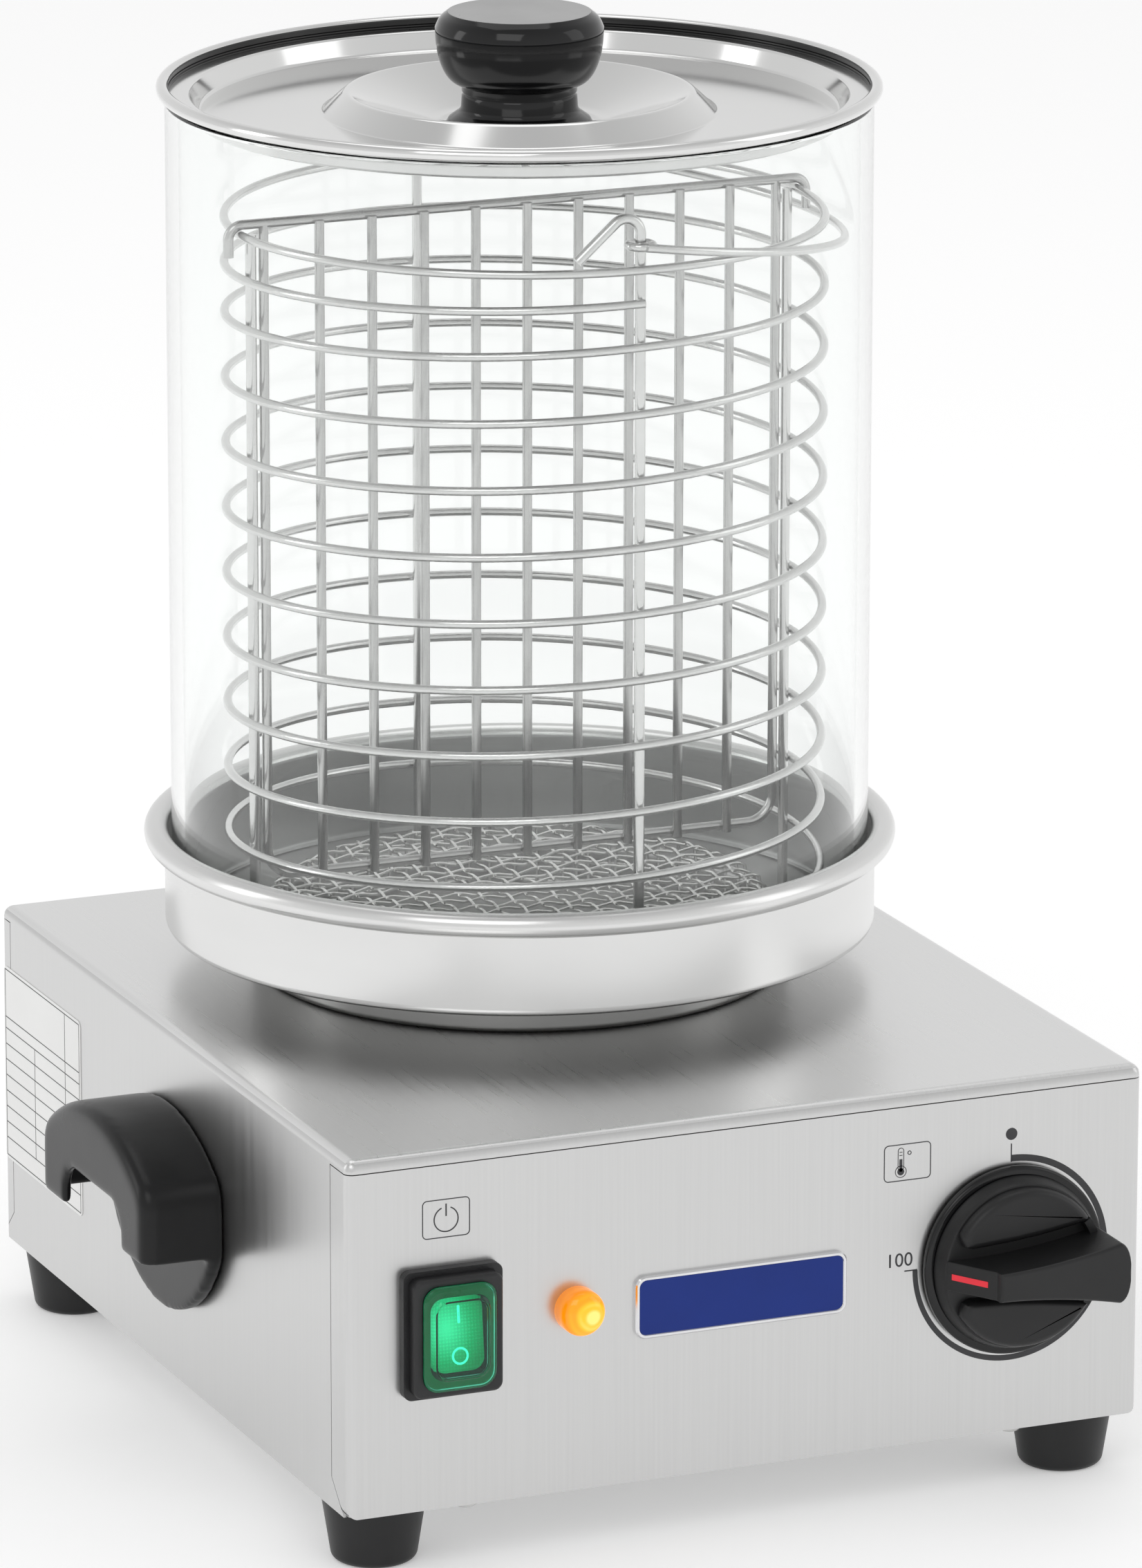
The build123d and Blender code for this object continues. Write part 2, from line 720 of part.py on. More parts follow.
bar_pitch = 2 * divider_half_width / (divider_bars - 1)
with BuildPart() as divider:
    with BuildLine(basket_plane):
        frame_line = FilletPolyline(
            (-divider_half_width, rail_top),
            (-divider_half_width, rail_bottom),
            (divider_half_width, rail_bottom),
            (divider_half_width, rail_top),
            radius=divider_corner,
        )
    with BuildSketch(Plane(origin=frame_line @ 0, z_dir=frame_line % 0)):
        Circle(divider_wire / 2)
    sweep(path=frame_line)
    with BuildLine(basket_plane):
        rail_line = FilletPolyline(
            (-hook_reach, rail_top - hook_drop),
            (-hook_reach, rail_top),
            (hook_reach, rail_top),
            (hook_reach, rail_top - hook_drop),
            radius=hook_bend,
        )
    with BuildSketch(Plane(origin=rail_line @ 0, z_dir=rail_line % 0)):
        Circle(divider_wire / 2)
    sweep(path=rail_line)
    with BuildSketch(Plane.XY.offset(rail_bottom - divider_wire / 2)):
        with Locations((basket_shift, axis_y - bar_lead)):
            with GridLocations(bar_pitch, 0, divider_bars - 2, 1):
                Circle(divider_wire / 2)
    extrude(amount=divider_height + divider_wire / 2)
save(divider.part, "divider")

# ---- control knob and thermostat ---------------------------------------------------------------

knob_plane = Plane(origin=(knob_x, front_y, knob_z), x_dir=(1, 0, 0), z_dir=(0, -1, 0))
knob_side_plane = Plane(origin=(knob_x, front_y, knob_z), x_dir=(1, 0, 0), z_dir=(0, 0, -1))
knob_back = knob_gap + knob_skirt_thickness


def grip_outline(extra):
    """Waisted outline of the knob's grip, widened by extra on each side."""
    tail = grip_tail_width / 2 + extra
    waist = grip_waist_width / 2 + extra
    nose = grip_nose_width / 2 + extra
    middle = (grip_nose_start - grip_tail) / 2
    with BuildSketch() as outline:
        with BuildLine():
            ThreePointArc((-grip_tail, tail), (middle, waist), (grip_nose_start, nose))
            ThreePointArc((grip_nose_start, nose), (grip_nose + extra, 0), (grip_nose_start, -nose))
            ThreePointArc((grip_nose_start, -nose), (middle, -waist), (-grip_tail, -tail))
            Line((-grip_tail, -tail), (-grip_tail, tail))
        make_face()
    return outline.sketch


with BuildPart() as knob_skirt:
    with BuildSketch(knob_plane.offset(knob_gap)):
        Circle(knob_skirt_radius)
        Circle(skirt_hole_radius, mode=Mode.SUBTRACT)
    extrude(amount=knob_skirt_thickness)
    fillet(far_edges(knob_skirt.part, knob_plane).sort_by(SortBy.LENGTH)[-1], radius=knob_rounding)
save(knob_skirt.part, "knob_skirt")

with BuildPart() as control_knob:
    with BuildSketch(knob_plane.offset(knob_back)):
        Circle(knob_body_radius)
    with BuildSketch(knob_plane.offset(knob_body_depth)):
        Circle(knob_face_radius)
    loft()
    fillet(far_edges(control_knob.part, knob_plane), radius=knob_rounding)
    with BuildSketch(knob_plane.offset(knob_body_depth)):
        add(grip_outline(channel_width))
        Circle(knob_face_radius - channel_border, mode=Mode.INTERSECT)
    extrude(amount=-channel_depth, mode=Mode.SUBTRACT)
    with BuildSketch(knob_plane.offset(knob_back)):
        add(grip_outline(0))
    extrude(amount=knob_reach - knob_back)
    fillet(far_edges(control_knob.part, knob_plane), radius=grip_rounding)
    with BuildSketch(knob_side_plane):
        with BuildLine():
            Polyline(
                (-knob_face_radius, knob_back),
                (-knob_face_radius, knob_body_depth),
                (-grip_tail, ramp_top),
                (0, ramp_top),
                (0, knob_back),
                close=True,
            )
        make_face()
    extrude(amount=grip_tail_width / 2, both=True)
    with Locations(Plane(origin=knob_plane.offset(knob_back).origin, z_dir=(0, 1, 0))):
        Hole(radius=shaft_radius + hub_clearance, depth=shaft_reach + hub_clearance - knob_back)
save(control_knob.part, "control_knob")

# The pointer is a bar inlaid on the ramp
ramp_run = knob_face_radius - grip_tail
ramp_rise = ramp_top - knob_body_depth
ramp_angle = degrees(atan2(ramp_rise, ramp_run))
pointer_plane = Plane(
    origin=knob_side_plane.from_local_coords((-grip_tail - ramp_run / 2, (ramp_top + knob_body_depth) / 2, 0)),
    x_dir=(cos(radians(ramp_angle)), -sin(radians(ramp_angle)), 0),
    z_dir=(-sin(radians(ramp_angle)), -cos(radians(ramp_angle)), 0),
)
with BuildPart() as knob_pointer:
    with BuildSketch(pointer_plane):
        Rectangle(*pointer_size)
    extrude(amount=pointer_thickness)
save(knob_pointer.part, "knob_pointer")

with BuildPart() as thermostat_shaft:
    with BuildSketch(knob_plane.offset(-shaft_depth)):
        Circle(shaft_radius)
    extrude(amount=shaft_depth + shaft_reach)
save(thermostat_shaft.part, "thermostat_shaft")

with BuildPart() as thermostat:
    with BuildSketch(knob_plane.offset(-sheet)):
        RectangleRounded(*thermostat_size, 2 * sheet)
    extrude(amount=-thermostat_depth)
    with BuildSketch(knob_plane.offset(-sheet)):
        Circle(bush_radius)
    extrude(amount=sheet + bush_reach)
    with BuildSketch(knob_plane.offset(bush_reach)):
        Circle(shaft_radius + shaft_clearance)
    extrude(amount=-bush_reach - shaft_depth - shaft_clearance, mode=Mode.SUBTRACT)
save(thermostat.part, "thermostat")

with BuildPart() as thermostat_nut_ring:
    with BuildSketch(knob_plane):
        RegularPolygon(thermostat_nut / 2, 6, major_radius=False)
        Circle(bush_radius + hub_clearance, mode=Mode.SUBTRACT)
    extrude(amount=thermostat_nut_height)
save(thermostat_nut_ring.part, "thermostat_nut")

# ---- switch, lamp and badge --------------------------------------------------------------------

switch_plane = Plane(origin=(switch_x, front_y, switch_z), x_dir=(1, 0, 0), z_dir=(0, -1, 0))
rocker_tilt = degrees(asin(2 * rocker_travel / rocker_size[1]))
with BuildPart() as switch_housing:
    with BuildSketch(switch_plane):
        RectangleRounded(*switch_flange, switch_corner)
    extrude(amount=switch_flange_depth)
    with BuildSketch(switch_plane):
        RectangleRounded(*switch_frame, switch_corner)
    extrude(amount=switch_frame_depth)
    fillet(far_edges(switch_housing.part, switch_plane), radius=switch_rounding)
    with BuildSketch(switch_plane):
        Rectangle(*switch_body)
    extrude(amount=-switch_body_depth)
    with BuildSketch(switch_plane.offset(switch_frame_depth)):
        Rectangle(*switch_opening)
    extrude(amount=-switch_frame_depth - switch_well, mode=Mode.SUBTRACT)
    with BuildSketch(Plane.YZ.offset(switch_x)):
        with Locations((front_y - rocker_pin_depth, switch_z)):
            Circle(rocker_pin + pin_clearance)
    extrude(amount=switch_opening[0] / 2 + 2 * rocker_pin, both=True, mode=Mode.SUBTRACT)
save(switch_housing.part, "switch_housing")

pin_y = front_y - rocker_pin_depth
rocker_plane = Plane(
    origin=(switch_x, pin_y, switch_z),
    x_dir=(1, 0, 0),
    z_dir=(0, -cos(radians(rocker_tilt)), sin(radians(rocker_tilt))),
)
with BuildPart() as switch_rocker:
    with BuildSketch(rocker_plane.offset(rocker_face - rocker_pin_depth)):
        RectangleRounded(*rocker_size, switch_rounding)
    extrude(amount=-rocker_depth)
    with BuildSketch(Plane.YZ.offset(switch_x)):
        with Locations((pin_y, switch_z)):
            Circle(rocker_pin)
    extrude(amount=switch_opening[0] / 2 + rocker_pin, both=True)
save(switch_rocker.part, "switch_rocker")

with BuildPart() as switch_boot:
    with BuildSketch(switch_plane.offset(switch_frame_depth)):
        RectangleRounded(*boot_size, switch_corner)
    extrude(amount=boot_height)
    fillet(far_edges(switch_boot.part, switch_plane), radius=boot_wall)
    with BuildSketch(switch_plane.offset(switch_frame_depth)):
        RectangleRounded(boot_size[0] - 2 * boot_wall, boot_size[1] - 2 * boot_wall, switch_corner - boot_wall)
    extrude(amount=boot_height - boot_wall, mode=Mode.SUBTRACT)
save(switch_boot.part, "switch_boot")

lamp_plane = Plane(origin=(lamp_x, front_y, lamp_z), x_dir=(1, 0, 0), z_dir=(0, -1, 0))
with BuildPart() as lamp_body:
    with BuildSketch(lamp_plane):
        Circle(lamp_barrel_radius)
    extrude(amount=-lamp_barrel_depth)
save(lamp_body.part, "lamp_body")

lamp_top = lamp_rim + lamp_dome
dome_radius = (lamp_radius**2 + lamp_dome**2) / (2 * lamp_dome)
dome_angle = degrees(asin((dome_radius - lamp_dome) / dome_radius))
with BuildPart() as lamp_lens:
    with BuildSketch(Plane(origin=lamp_plane.origin, x_dir=(1, 0, 0), z_dir=(0, 0, -1))):
        with BuildLine():
            Line((0, 0), (lamp_radius, 0))
            Line((lamp_radius, 0), (lamp_radius, lamp_rim))
            CenterArc((0, lamp_top - dome_radius), dome_radius, dome_angle, 90 - dome_angle)
            Line((0, lamp_top), (0, 0))
        make_face()
    revolve(axis=Axis(lamp_plane.origin, (0, -1, 0)))
save(lamp_lens.part, "lamp_lens")

with BuildPart() as badge:
    with BuildSketch(front_plane):
        with Locations((badge_offset, badge_z)):
            RectangleRounded(*badge_size, badge_corner)
    extrude(amount=badge_thickness)
    fillet(far_edges(badge.part, front_plane), radius=badge_edge)
save(badge.part, "badge")

# ---- carrying handles --------------------------------------------------------------------------

handle_plane = Plane(origin=(-side_x, handle_y, handle_z), x_dir=(0, -1, 0), z_dir=(-1, 0, 0))


def handle_arch(inset, foot):
    """Arched outline of the grip drawn in by inset, with its straight foot at the given level."""
    half = handle_width / 2 - inset
    side = handle_side - inset
    with BuildSketch() as outline:
        with BuildLine():
            Line((-half, foot), (-half, side))
            ThreePointArc((-half, side), (0, handle_crown - inset), (half, side))
            Line((half, side), (half, foot))
            Line((half, foot), (-half, foot))
        make_face()
        round_corners(handle_shoulder - inset, (-half, side), (half, side))
    return outline.sketch


with BuildPart() as handle_left:
    with BuildSketch(handle_plane):
        add(handle_arch(0, 0))
    extrude(amount=handle_reach)
    arch_edges = far_edges(handle_left.part, handle_plane).sort_by(Axis.Z)[1:]
    fillet(arch_edges, radius=handle_edge)
    with BuildSketch(handle_plane.offset(handle_back)):
        add(handle_arch(handle_wall, -handle_wall))
    extrude(amount=handle_reach - handle_back - handle_wall, mode=Mode.SUBTRACT)
    with BuildSketch(handle_plane.offset(handle_reach)):
        Rectangle(handle_notch_width, 2 * handle_notch_height)
        fillet(vertices().group_by(Axis.Y)[-1], radius=handle_notch_corner)
    extrude(amount=handle_back - handle_reach, mode=Mode.SUBTRACT)
    with BuildSketch(handle_plane):
        with BuildLine():
            ThreePointArc((-handle_width / 2, 0), (0, -handle_lobe), (handle_width / 2, 0))
            Line((handle_width / 2, 0), (-handle_width / 2, 0))
        make_face()
    extrude(amount=handle_back)
    with BuildSketch(handle_plane):
        with Locations((0, -handle_screw_drop)):
            with GridLocations(handle_screw_spacing, 0, 2, 1):
                Circle(screw_radius + screw_clearance)
    extrude(amount=handle_back - sheet, mode=Mode.SUBTRACT)
save(handle_left.part, "handle_left")

with BuildPart() as handle_right:
    mirror(handle_left.part, about=Plane.YZ)
save(handle_right.part, "handle_right")

number = 0
for side in (-1, 1):
    for y in handle_screw_spots:
        number += 1
        inner_wall = Plane(origin=(side * (side_x - sheet), y, handle_screw_z), z_dir=(-side, 0, 0))
        save(dome_screw(inner_wall, handle_back), f"handle_screw_{number}")

with BuildPart() as side_label:
    with BuildSketch(left_plane):
        with Locations(
            (
                label_inset + label_size[0] / 2 - casing_depth / 2,
                foot_height + label_bottom + label_size[1] / 2,
            )
        ):
            RectangleRounded(*label_size, label_corner)
    extrude(amount=label_thickness)
save(side_label.part, "side_label")

# ---- heater ------------------------------------------------------------------------------------

with BuildPart() as heater_plate:
    with BuildSketch(Plane.XY.offset(heater_bottom)):
        with Locations((0, axis_y)):
            Circle(heater_flange_radius)
    extrude(amount=heater_thickness)
    with BuildSketch(Plane.XY.offset(casing_top - sheet)):
        with Locations((0, axis_y)):
            Circle(heater_radius)
    extrude(amount=sheet)
    with BuildSketch(Plane.XY.offset(heater_bottom)):
        with Locations((0, axis_y)):
            Circle(stud_radius)
    extrude(amount=-2 * element_tube - clamp_thickness - 2 * nut_height)
save(heater_plate.part, "heater_plate")

element_level = heater_bottom - element_tube
with BuildPart() as heating_element:
    with BuildSketch(section_plane):
        with Locations((element_radius, element_level)):
            Circle(element_tube)
    revolve(axis=upright_axis, revolution_arc=element_arc)
    with BuildSketch(Plane.XY.offset(element_level)):
        for angle in (0, element_arc):
            with Locations(
                (element_radius * cos(radians(angle)), axis_y + element_radius * sin(radians(angle)))
            ):
                Circle(element_leg_radius)
    extrude(amount=-element_leg)
save(heating_element.part, "heating_element")

clamp_level = heater_bottom - 2 * element_tube
with BuildPart() as element_clamp:
    with BuildSketch(Plane.XY.offset(clamp_level)):
        with Locations((0, axis_y)):
            SlotOverall(clamp_length, clamp_width, rotation=90)
            Circle(stud_radius + screw_clearance, mode=Mode.SUBTRACT)
    extrude(amount=-clamp_thickness)
save(element_clamp.part, "element_clamp")

with BuildPart() as clamp_nut:
    with BuildSketch(Plane.XY.offset(clamp_level - clamp_thickness)):
        with Locations((0, axis_y)):
            RegularPolygon(nut_width / 2, 6, major_radius=False)
            Circle(stud_radius + hub_clearance, mode=Mode.SUBTRACT)
    extrude(amount=-nut_height)
save(clamp_nut.part, "clamp_nut")

with BuildPart() as thermal_cutout:
    with BuildSketch(Plane.XY.offset(heater_bottom)):
        with Locations((-cutout_offset, axis_y)):
            Circle(cutout_radius)
    extrude(amount=-cutout_height)
save(thermal_cutout.part, "thermal_cutout")

# The sensing bulb lies under the plate, and its capillary runs down to the back of the thermostat
bulb_y = axis_y - element_radius - element_tube - 3 * bulb_radius
capillary_level = knob_z + thermostat_size[1] / 4
thermostat_rear = front_y + sheet + thermostat_depth
with BuildPart() as sensing_bulb:
    with BuildSketch(Plane(origin=(-bulb_length / 2, bulb_y, heater_bottom - bulb_radius), z_dir=(1, 0, 0))):
        Circle(bulb_radius)
    extrude(amount=bulb_length)
    with BuildLine():
        capillary = FilletPolyline(
            (bulb_length / 2, bulb_y, heater_bottom - bulb_radius),
            (knob_x, bulb_y, heater_bottom - bulb_radius),
            (knob_x, bulb_y, capillary_level),
            (knob_x, thermostat_rear, capillary_level),
            radius=capillary_bend,
        )
    with BuildSketch(Plane(origin=capillary @ 0, z_dir=capillary % 0)):
        Circle(capillary_radius)
    sweep(path=capillary)
save(sensing_bulb.part, "sensing_bulb")

# ---- supply: gland, nut and terminal block -----------------------------------------------------

gland_plane = Plane(origin=(gland_x, rear_y, gland_z), x_dir=(-1, 0, 0), z_dir=(0, 1, 0))
with BuildPart() as cable_gland:
    with BuildSketch(gland_plane):
        RegularPolygon(gland_hex / 2, 6, major_radius=False)
    extrude(amount=gland_hex_height)
    with BuildSketch(gland_plane.offset(gland_hex_height)):
        Circle(gland_cap_radius)
    extrude(amount=gland_reach - gland_hex_height)
    fillet(far_edges(cable_gland.part, gland_plane), radius=gland_rounding)
    with BuildSketch(gland_plane):
        Circle(gland_radius)
    extrude(amount=-gland_thread)
    with BuildSketch(gland_plane.offset(gland_reach)):
        Circle(gland_bore)
    extrude(amount=-gland_reach - gland_thread, mode=Mode.SUBTRACT)
save(cable_gland.part, "cable_gland")

with BuildPart() as gland_nut:
    with BuildSketch(gland_plane.offset(-sheet)):
        RegularPolygon(gland_hex / 2, 6, major_radius=False)
        Circle(gland_radius + hub_clearance, mode=Mode.SUBTRACT)
    extrude(amount=-nut_height)
save(gland_nut.part, "gland_nut")

terminal_spot = (terminal_inset_x - side_x, rear_y - terminal_inset_y)
with BuildPart() as terminal_block:
    with BuildSketch(Plane.XY.offset(floor_top)):
        with Locations(terminal_spot):
            RectangleRounded(*terminal_size, sheet)
    extrude(amount=terminal_height)
    with BuildSketch(Plane.XY.offset(floor_top + terminal_height)):
        with Locations(terminal_spot):
            with GridLocations(terminal_size[0] / 4, terminal_size[1] / 2, 3, 2):
                Circle(terminal_screw_radius)
    extrude(amount=-terminal_height / 3, mode=Mode.SUBTRACT)
save(terminal_block.part, "terminal_block")
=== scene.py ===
"""Looks of the hot dog steamer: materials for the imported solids, and finer pieces for some of them.

The helpers take millimetres and Blender has metres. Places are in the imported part's own frame: X to the
right, Y to the back and Z up, with the front panel at FRONT_Y.
"""
import random
from math import atan2, cos, exp, hypot, pi, radians, sin, tan

import bmesh
import bpy
from mathutils import Matrix, Vector


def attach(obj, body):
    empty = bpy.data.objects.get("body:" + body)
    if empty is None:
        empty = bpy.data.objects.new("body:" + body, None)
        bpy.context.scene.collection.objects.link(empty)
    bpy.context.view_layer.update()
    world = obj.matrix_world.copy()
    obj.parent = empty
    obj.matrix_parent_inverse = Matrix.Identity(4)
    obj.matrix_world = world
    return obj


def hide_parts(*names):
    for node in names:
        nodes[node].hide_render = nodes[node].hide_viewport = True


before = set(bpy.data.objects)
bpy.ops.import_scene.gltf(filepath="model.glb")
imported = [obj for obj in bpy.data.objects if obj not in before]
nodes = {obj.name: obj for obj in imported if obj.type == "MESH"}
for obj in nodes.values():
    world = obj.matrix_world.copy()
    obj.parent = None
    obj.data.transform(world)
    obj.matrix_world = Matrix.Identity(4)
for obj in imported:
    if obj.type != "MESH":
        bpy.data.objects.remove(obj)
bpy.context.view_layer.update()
MM = 0.001

# ---- sizes that the pieces share with the solids, in millimetres ----
AXIS_Y = 27.2                    # of the pan, the glass and the lid
SIDE_X = 119.0                   # the casing's half width
FRONT_Y = -137.7                 # the front panel's outer face
PAN_FLOOR = 122.0
LEDGE = 133.0                    # where the glass stands in the pan
RIM_LEVEL = 159.4                # the middle of the pan's rolled rim
GLASS_TOP = 373.3                # where the lid sits
SWITCH = (-89.3, 69.3)           # centres on the front panel, (x, z)
LAMP = (-51.8, 70.3)
BADGE = (-3.0, 68.3)
KNOB = (79.1, 68.5)


# ---- node-tree helpers ----
def principled(name, color, metallic=0.0, rough=0.5, **sockets):
    """A material with one Principled shader, its tree, and the shader."""
    material = bpy.data.materials.new(name)
    material.use_nodes = True
    tree = material.node_tree
    shader = tree.nodes["Principled BSDF"]
    shader.inputs["Base Color"].default_value = (*color, 1)
    shader.inputs["Metallic"].default_value = metallic
    shader.inputs["Roughness"].default_value = rough
    for key, value in sockets.items():
        shader.inputs[key.replace("_", " ")].default_value = value
    return material, tree, shader


def place(tree, scale=(1, 1, 1), offset=(0, 0, 0)):
    """Object coordinates, in metres, scaled and moved."""
    coords = tree.nodes.new("ShaderNodeTexCoord")
    mapping = tree.nodes.new("ShaderNodeMapping")
    mapping.inputs["Scale"].default_value = scale
    mapping.inputs["Location"].default_value = offset
    tree.links.new(coords.outputs["Object"], mapping.inputs["Vector"])
    return mapping.outputs["Vector"]


def noise(tree, scale, stretch=(1, 1, 1), detail=4.0, offset=(0, 0, 0)):
    """The value of a noise texture in object coordinates."""
    texture = tree.nodes.new("ShaderNodeTexNoise")
    texture.inputs["Scale"].default_value = scale
    texture.inputs["Detail"].default_value = detail
    tree.links.new(place(tree, stretch, offset), texture.inputs["Vector"])
    return texture.outputs["Fac"]


def spread(tree, value, low, high, start=0.3, end=0.7):
    """Maps a texture value on to low..high."""
    node = tree.nodes.new("ShaderNodeMapRange")
    node.inputs["From Min"].default_value = start
    node.inputs["From Max"].default_value = end
    node.inputs["To Min"].default_value = low
    node.inputs["To Max"].default_value = high
    tree.links.new(value, node.inputs["Value"])
    return node.outputs["Result"]


def ramp(tree, value, *stops):
    """Colour for a value, from stops of (position, colour)."""
    node = tree.nodes.new("ShaderNodeValToRGB")
    while len(node.color_ramp.elements) < len(stops):
        node.color_ramp.elements.new(0.5)
    for element, (position, color) in zip(node.color_ramp.elements, stops):
        element.position = position
        element.color = (*color, 1)
    tree.links.new(value, node.inputs["Fac"])
    return node.outputs["Color"]


def bump(tree, shader, value, strength, distance):
    """Fine relief: distance is the height of the value's full swing, in metres."""
    node = tree.nodes.new("ShaderNodeBump")
    node.inputs["Strength"].default_value = strength
    node.inputs["Distance"].default_value = distance
    tree.links.new(value, node.inputs["Height"])
    tree.links.new(node.outputs["Normal"], shader.inputs["Normal"])


def add_scaled(tree, value, factor, other):
    """value * factor + other."""
    node = tree.nodes.new("ShaderNodeMath")
    node.operation = "MULTIPLY_ADD"
    node.inputs[1].default_value = factor
    tree.links.new(value, node.inputs[0])
    tree.links.new(other, node.inputs[2])
    return node.outputs[0]


def shades(color, swing):
    """A darker and a lighter shade of a colour."""
    return tuple(c * (1 - swing) for c in color), tuple(min(1, c * (1 + swing)) for c in color)


def mottled(name, color, swing, metallic, rough, rough_swing,
            scale=40.0, stretch=(1, 1, 1), relief=0.0, **sockets):
    """A finish whose colour and roughness drift with a noise, with a fine relief where asked."""
    material, tree, shader = principled(name, color, metallic, rough, **sockets)
    field = noise(tree, scale, stretch)
    low, high = shades(color, swing)
    tree.links.new(ramp(tree, field, (0.3, low), (0.7, high)), shader.inputs["Base Color"])
    other = noise(tree, scale * 0.6, stretch, offset=(0.3, 0.1, 0.2))
    tree.links.new(spread(tree, other, rough - rough_swing, rough + rough_swing), shader.inputs["Roughness"])
    if relief:
        bump(tree, shader, noise(tree, scale * 12), relief, 0.0002)
    return material


BRUSH_UP = (1, 1, 0.012)         # lines that run up the casing's walls
BRUSH_BACK = (1, 0.012, 1)       # lines that run front to back over its top


def brushed(name, color, rough, stretch):
    """Brushed sheet steel: long fine lines in colour and roughness."""
    material, tree, shader = principled(name, color, 1.0, rough)
    lines = noise(tree, 1400.0, stretch, detail=3.0)
    cloud = noise(tree, 9.0, detail=2.0)
    mix = add_scaled(tree, cloud, 0.35, spread(tree, lines, 0.0, 0.65, 0.2, 0.8))
    low, high = shades(color, 0.02)
    tree.links.new(ramp(tree, mix, (0.25, low), (0.75, high)), shader.inputs["Base Color"])
    tree.links.new(spread(tree, lines, rough - 0.02, rough + 0.02), shader.inputs["Roughness"])
    return material


# ---- materials: colour, its swing, metallic, roughness, its swing, noise scale ----
casing_steel = brushed("casing_steel", (0.62, 0.62, 0.617), 0.31, BRUSH_UP)
# the casing's top: the same steel brushed front to back, its lighter colour painted light on the faces that
# look up
top_steel_painted_light = brushed("top_steel_painted_light", (0.79, 0.79, 0.787), 0.29, BRUSH_BACK)
pan_steel = mottled("pan_steel", (0.74, 0.74, 0.735), 0.02, 1.0, 0.26, 0.03, 14.0, (1, 1, 4))
pan_inner = mottled("pan_inner", (0.80, 0.80, 0.795), 0.03, 0.6, 0.42, 0.04, 20.0)
# darker copy of the pan's steel: painted shade on the outside of its step
pan_step_painted_shade = mottled("pan_step_painted_shade", (0.30, 0.30, 0.295), 0.05, 1.0, 0.30, 0.04, 20.0)
# near-black steel for the groove beside the lid's rolled edge: painted shade
lid_groove_painted_shade = mottled("lid_groove_painted_shade", (0.05, 0.05, 0.05), 0.1, 1.0, 0.30, 0.04, 60.0)
lid_steel = mottled("lid_steel", (0.74, 0.74, 0.735), 0.02, 1.0, 0.13, 0.02, 12.0)
wire_steel = mottled("wire_steel", (0.70, 0.70, 0.695), 0.05, 1.0, 0.20, 0.03, 60.0)
divider_steel = mottled("divider_steel", (0.55, 0.55, 0.545), 0.06, 1.0, 0.21, 0.03, 60.0)
mesh_steel = mottled("mesh_steel", (0.86, 0.86, 0.85), 0.06, 1.0, 0.22, 0.04, 90.0)
screw_steel = mottled("screw_steel", (0.62, 0.62, 0.61), 0.06, 1.0, 0.30, 0.05, 200.0)
black_gloss = mottled(
    "black_gloss", (0.004, 0.004, 0.0045), 0.2, 0.0, 0.10, 0.02, 30.0, Specular_IOR_Level=0.4
)
# mid grey on the black knob's flat top: painted sheen of the light from above
knob_top_painted_sheen = mottled("knob_top_painted_sheen", (0.30, 0.30, 0.30), 0.05, 0.0, 0.30, 0.04, 60.0)
black_satin = mottled(
    "black_satin", (0.010, 0.010, 0.0105), 0.15, 0.0, 0.38, 0.04, 70.0, relief=0.12, Specular_IOR_Level=0.4
)
handle_black = mottled(
    "handle_black", (0.008, 0.008, 0.0085), 0.12, 0.0, 0.30, 0.03, 60.0, relief=0.03, Specular_IOR_Level=0.28
)
rubber = mottled(
    "rubber", (0.009, 0.009, 0.0095), 0.2, 0.0, 0.42, 0.05, 80.0, relief=0.1, Specular_IOR_Level=0.4
)
switch_black = mottled("switch_black", (0.009, 0.009, 0.010), 0.2, 0.0, 0.42, 0.06, 120.0, relief=0.4)
label_white = mottled("label_white", (0.80, 0.80, 0.79), 0.02, 0.0, 0.45, 0.03, 40.0)
ink = mottled("ink", (0.035, 0.035, 0.038), 0.15, 0.0, 0.50, 0.03, 90.0)
cast_grey = mottled("cast_grey", (0.50, 0.50, 0.49), 0.08, 1.0, 0.45, 0.06, 50.0, relief=0.4)
sheath = mottled("sheath", (0.30, 0.28, 0.26), 0.2, 1.0, 0.42, 0.06, 60.0)
ceramic = mottled("ceramic", (0.80, 0.78, 0.72), 0.04, 0.0, 0.30, 0.04, 50.0)
nylon = mottled("nylon", (0.022, 0.022, 0.023), 0.15, 0.0, 0.45, 0.05, 70.0, relief=0.2)
plated = mottled("plated", (0.60, 0.58, 0.54), 0.08, 1.0, 0.35, 0.05, 60.0)
brass = mottled("brass", (0.66, 0.48, 0.20), 0.08, 1.0, 0.30, 0.05, 80.0)
pointer_red = mottled("pointer_red", (0.85, 0.025, 0.045), 0.05, 0.0, 0.35, 0.03, 200.0)
badge_blue = mottled("badge_blue", (0.006, 0.026, 0.20), 0.06, 0.0, 0.32, 0.03, 50.0, Specular_IOR_Level=0.25)
badge_edge = mottled("badge_edge", (0.74, 0.74, 0.75), 0.04, 1.0, 0.18, 0.03, 60.0)
bezel_green = mottled("bezel_green", (0.01, 0.26, 0.14), 0.15, 0.0, 0.30, 0.04, 100.0)
mark_cyan = mottled(
    "mark_cyan", (0.45, 0.95, 0.90), 0.04, 0.0, 0.4, 0.03, 300.0,
    Emission_Color=(0.35, 0.95, 0.88, 1), Emission_Strength=1.6
)

clear_glass, tree, shader = principled(
    "clear_glass", (0.985, 0.995, 0.99), 0.0, 0.0, Transmission_Weight=1.0, IOR=1.47
)
tree.links.new(spread(tree, noise(tree, 8.0), 0.0, 0.012), shader.inputs["Roughness"])
boot_glass, tree, shader = principled(
    "boot_glass", (0.10, 0.72, 0.46), 0.0, 0.05, Transmission_Weight=1.0, IOR=1.45
)
tree.links.new(spread(tree, noise(tree, 60.0), 0.02, 0.09), shader.inputs["Roughness"])


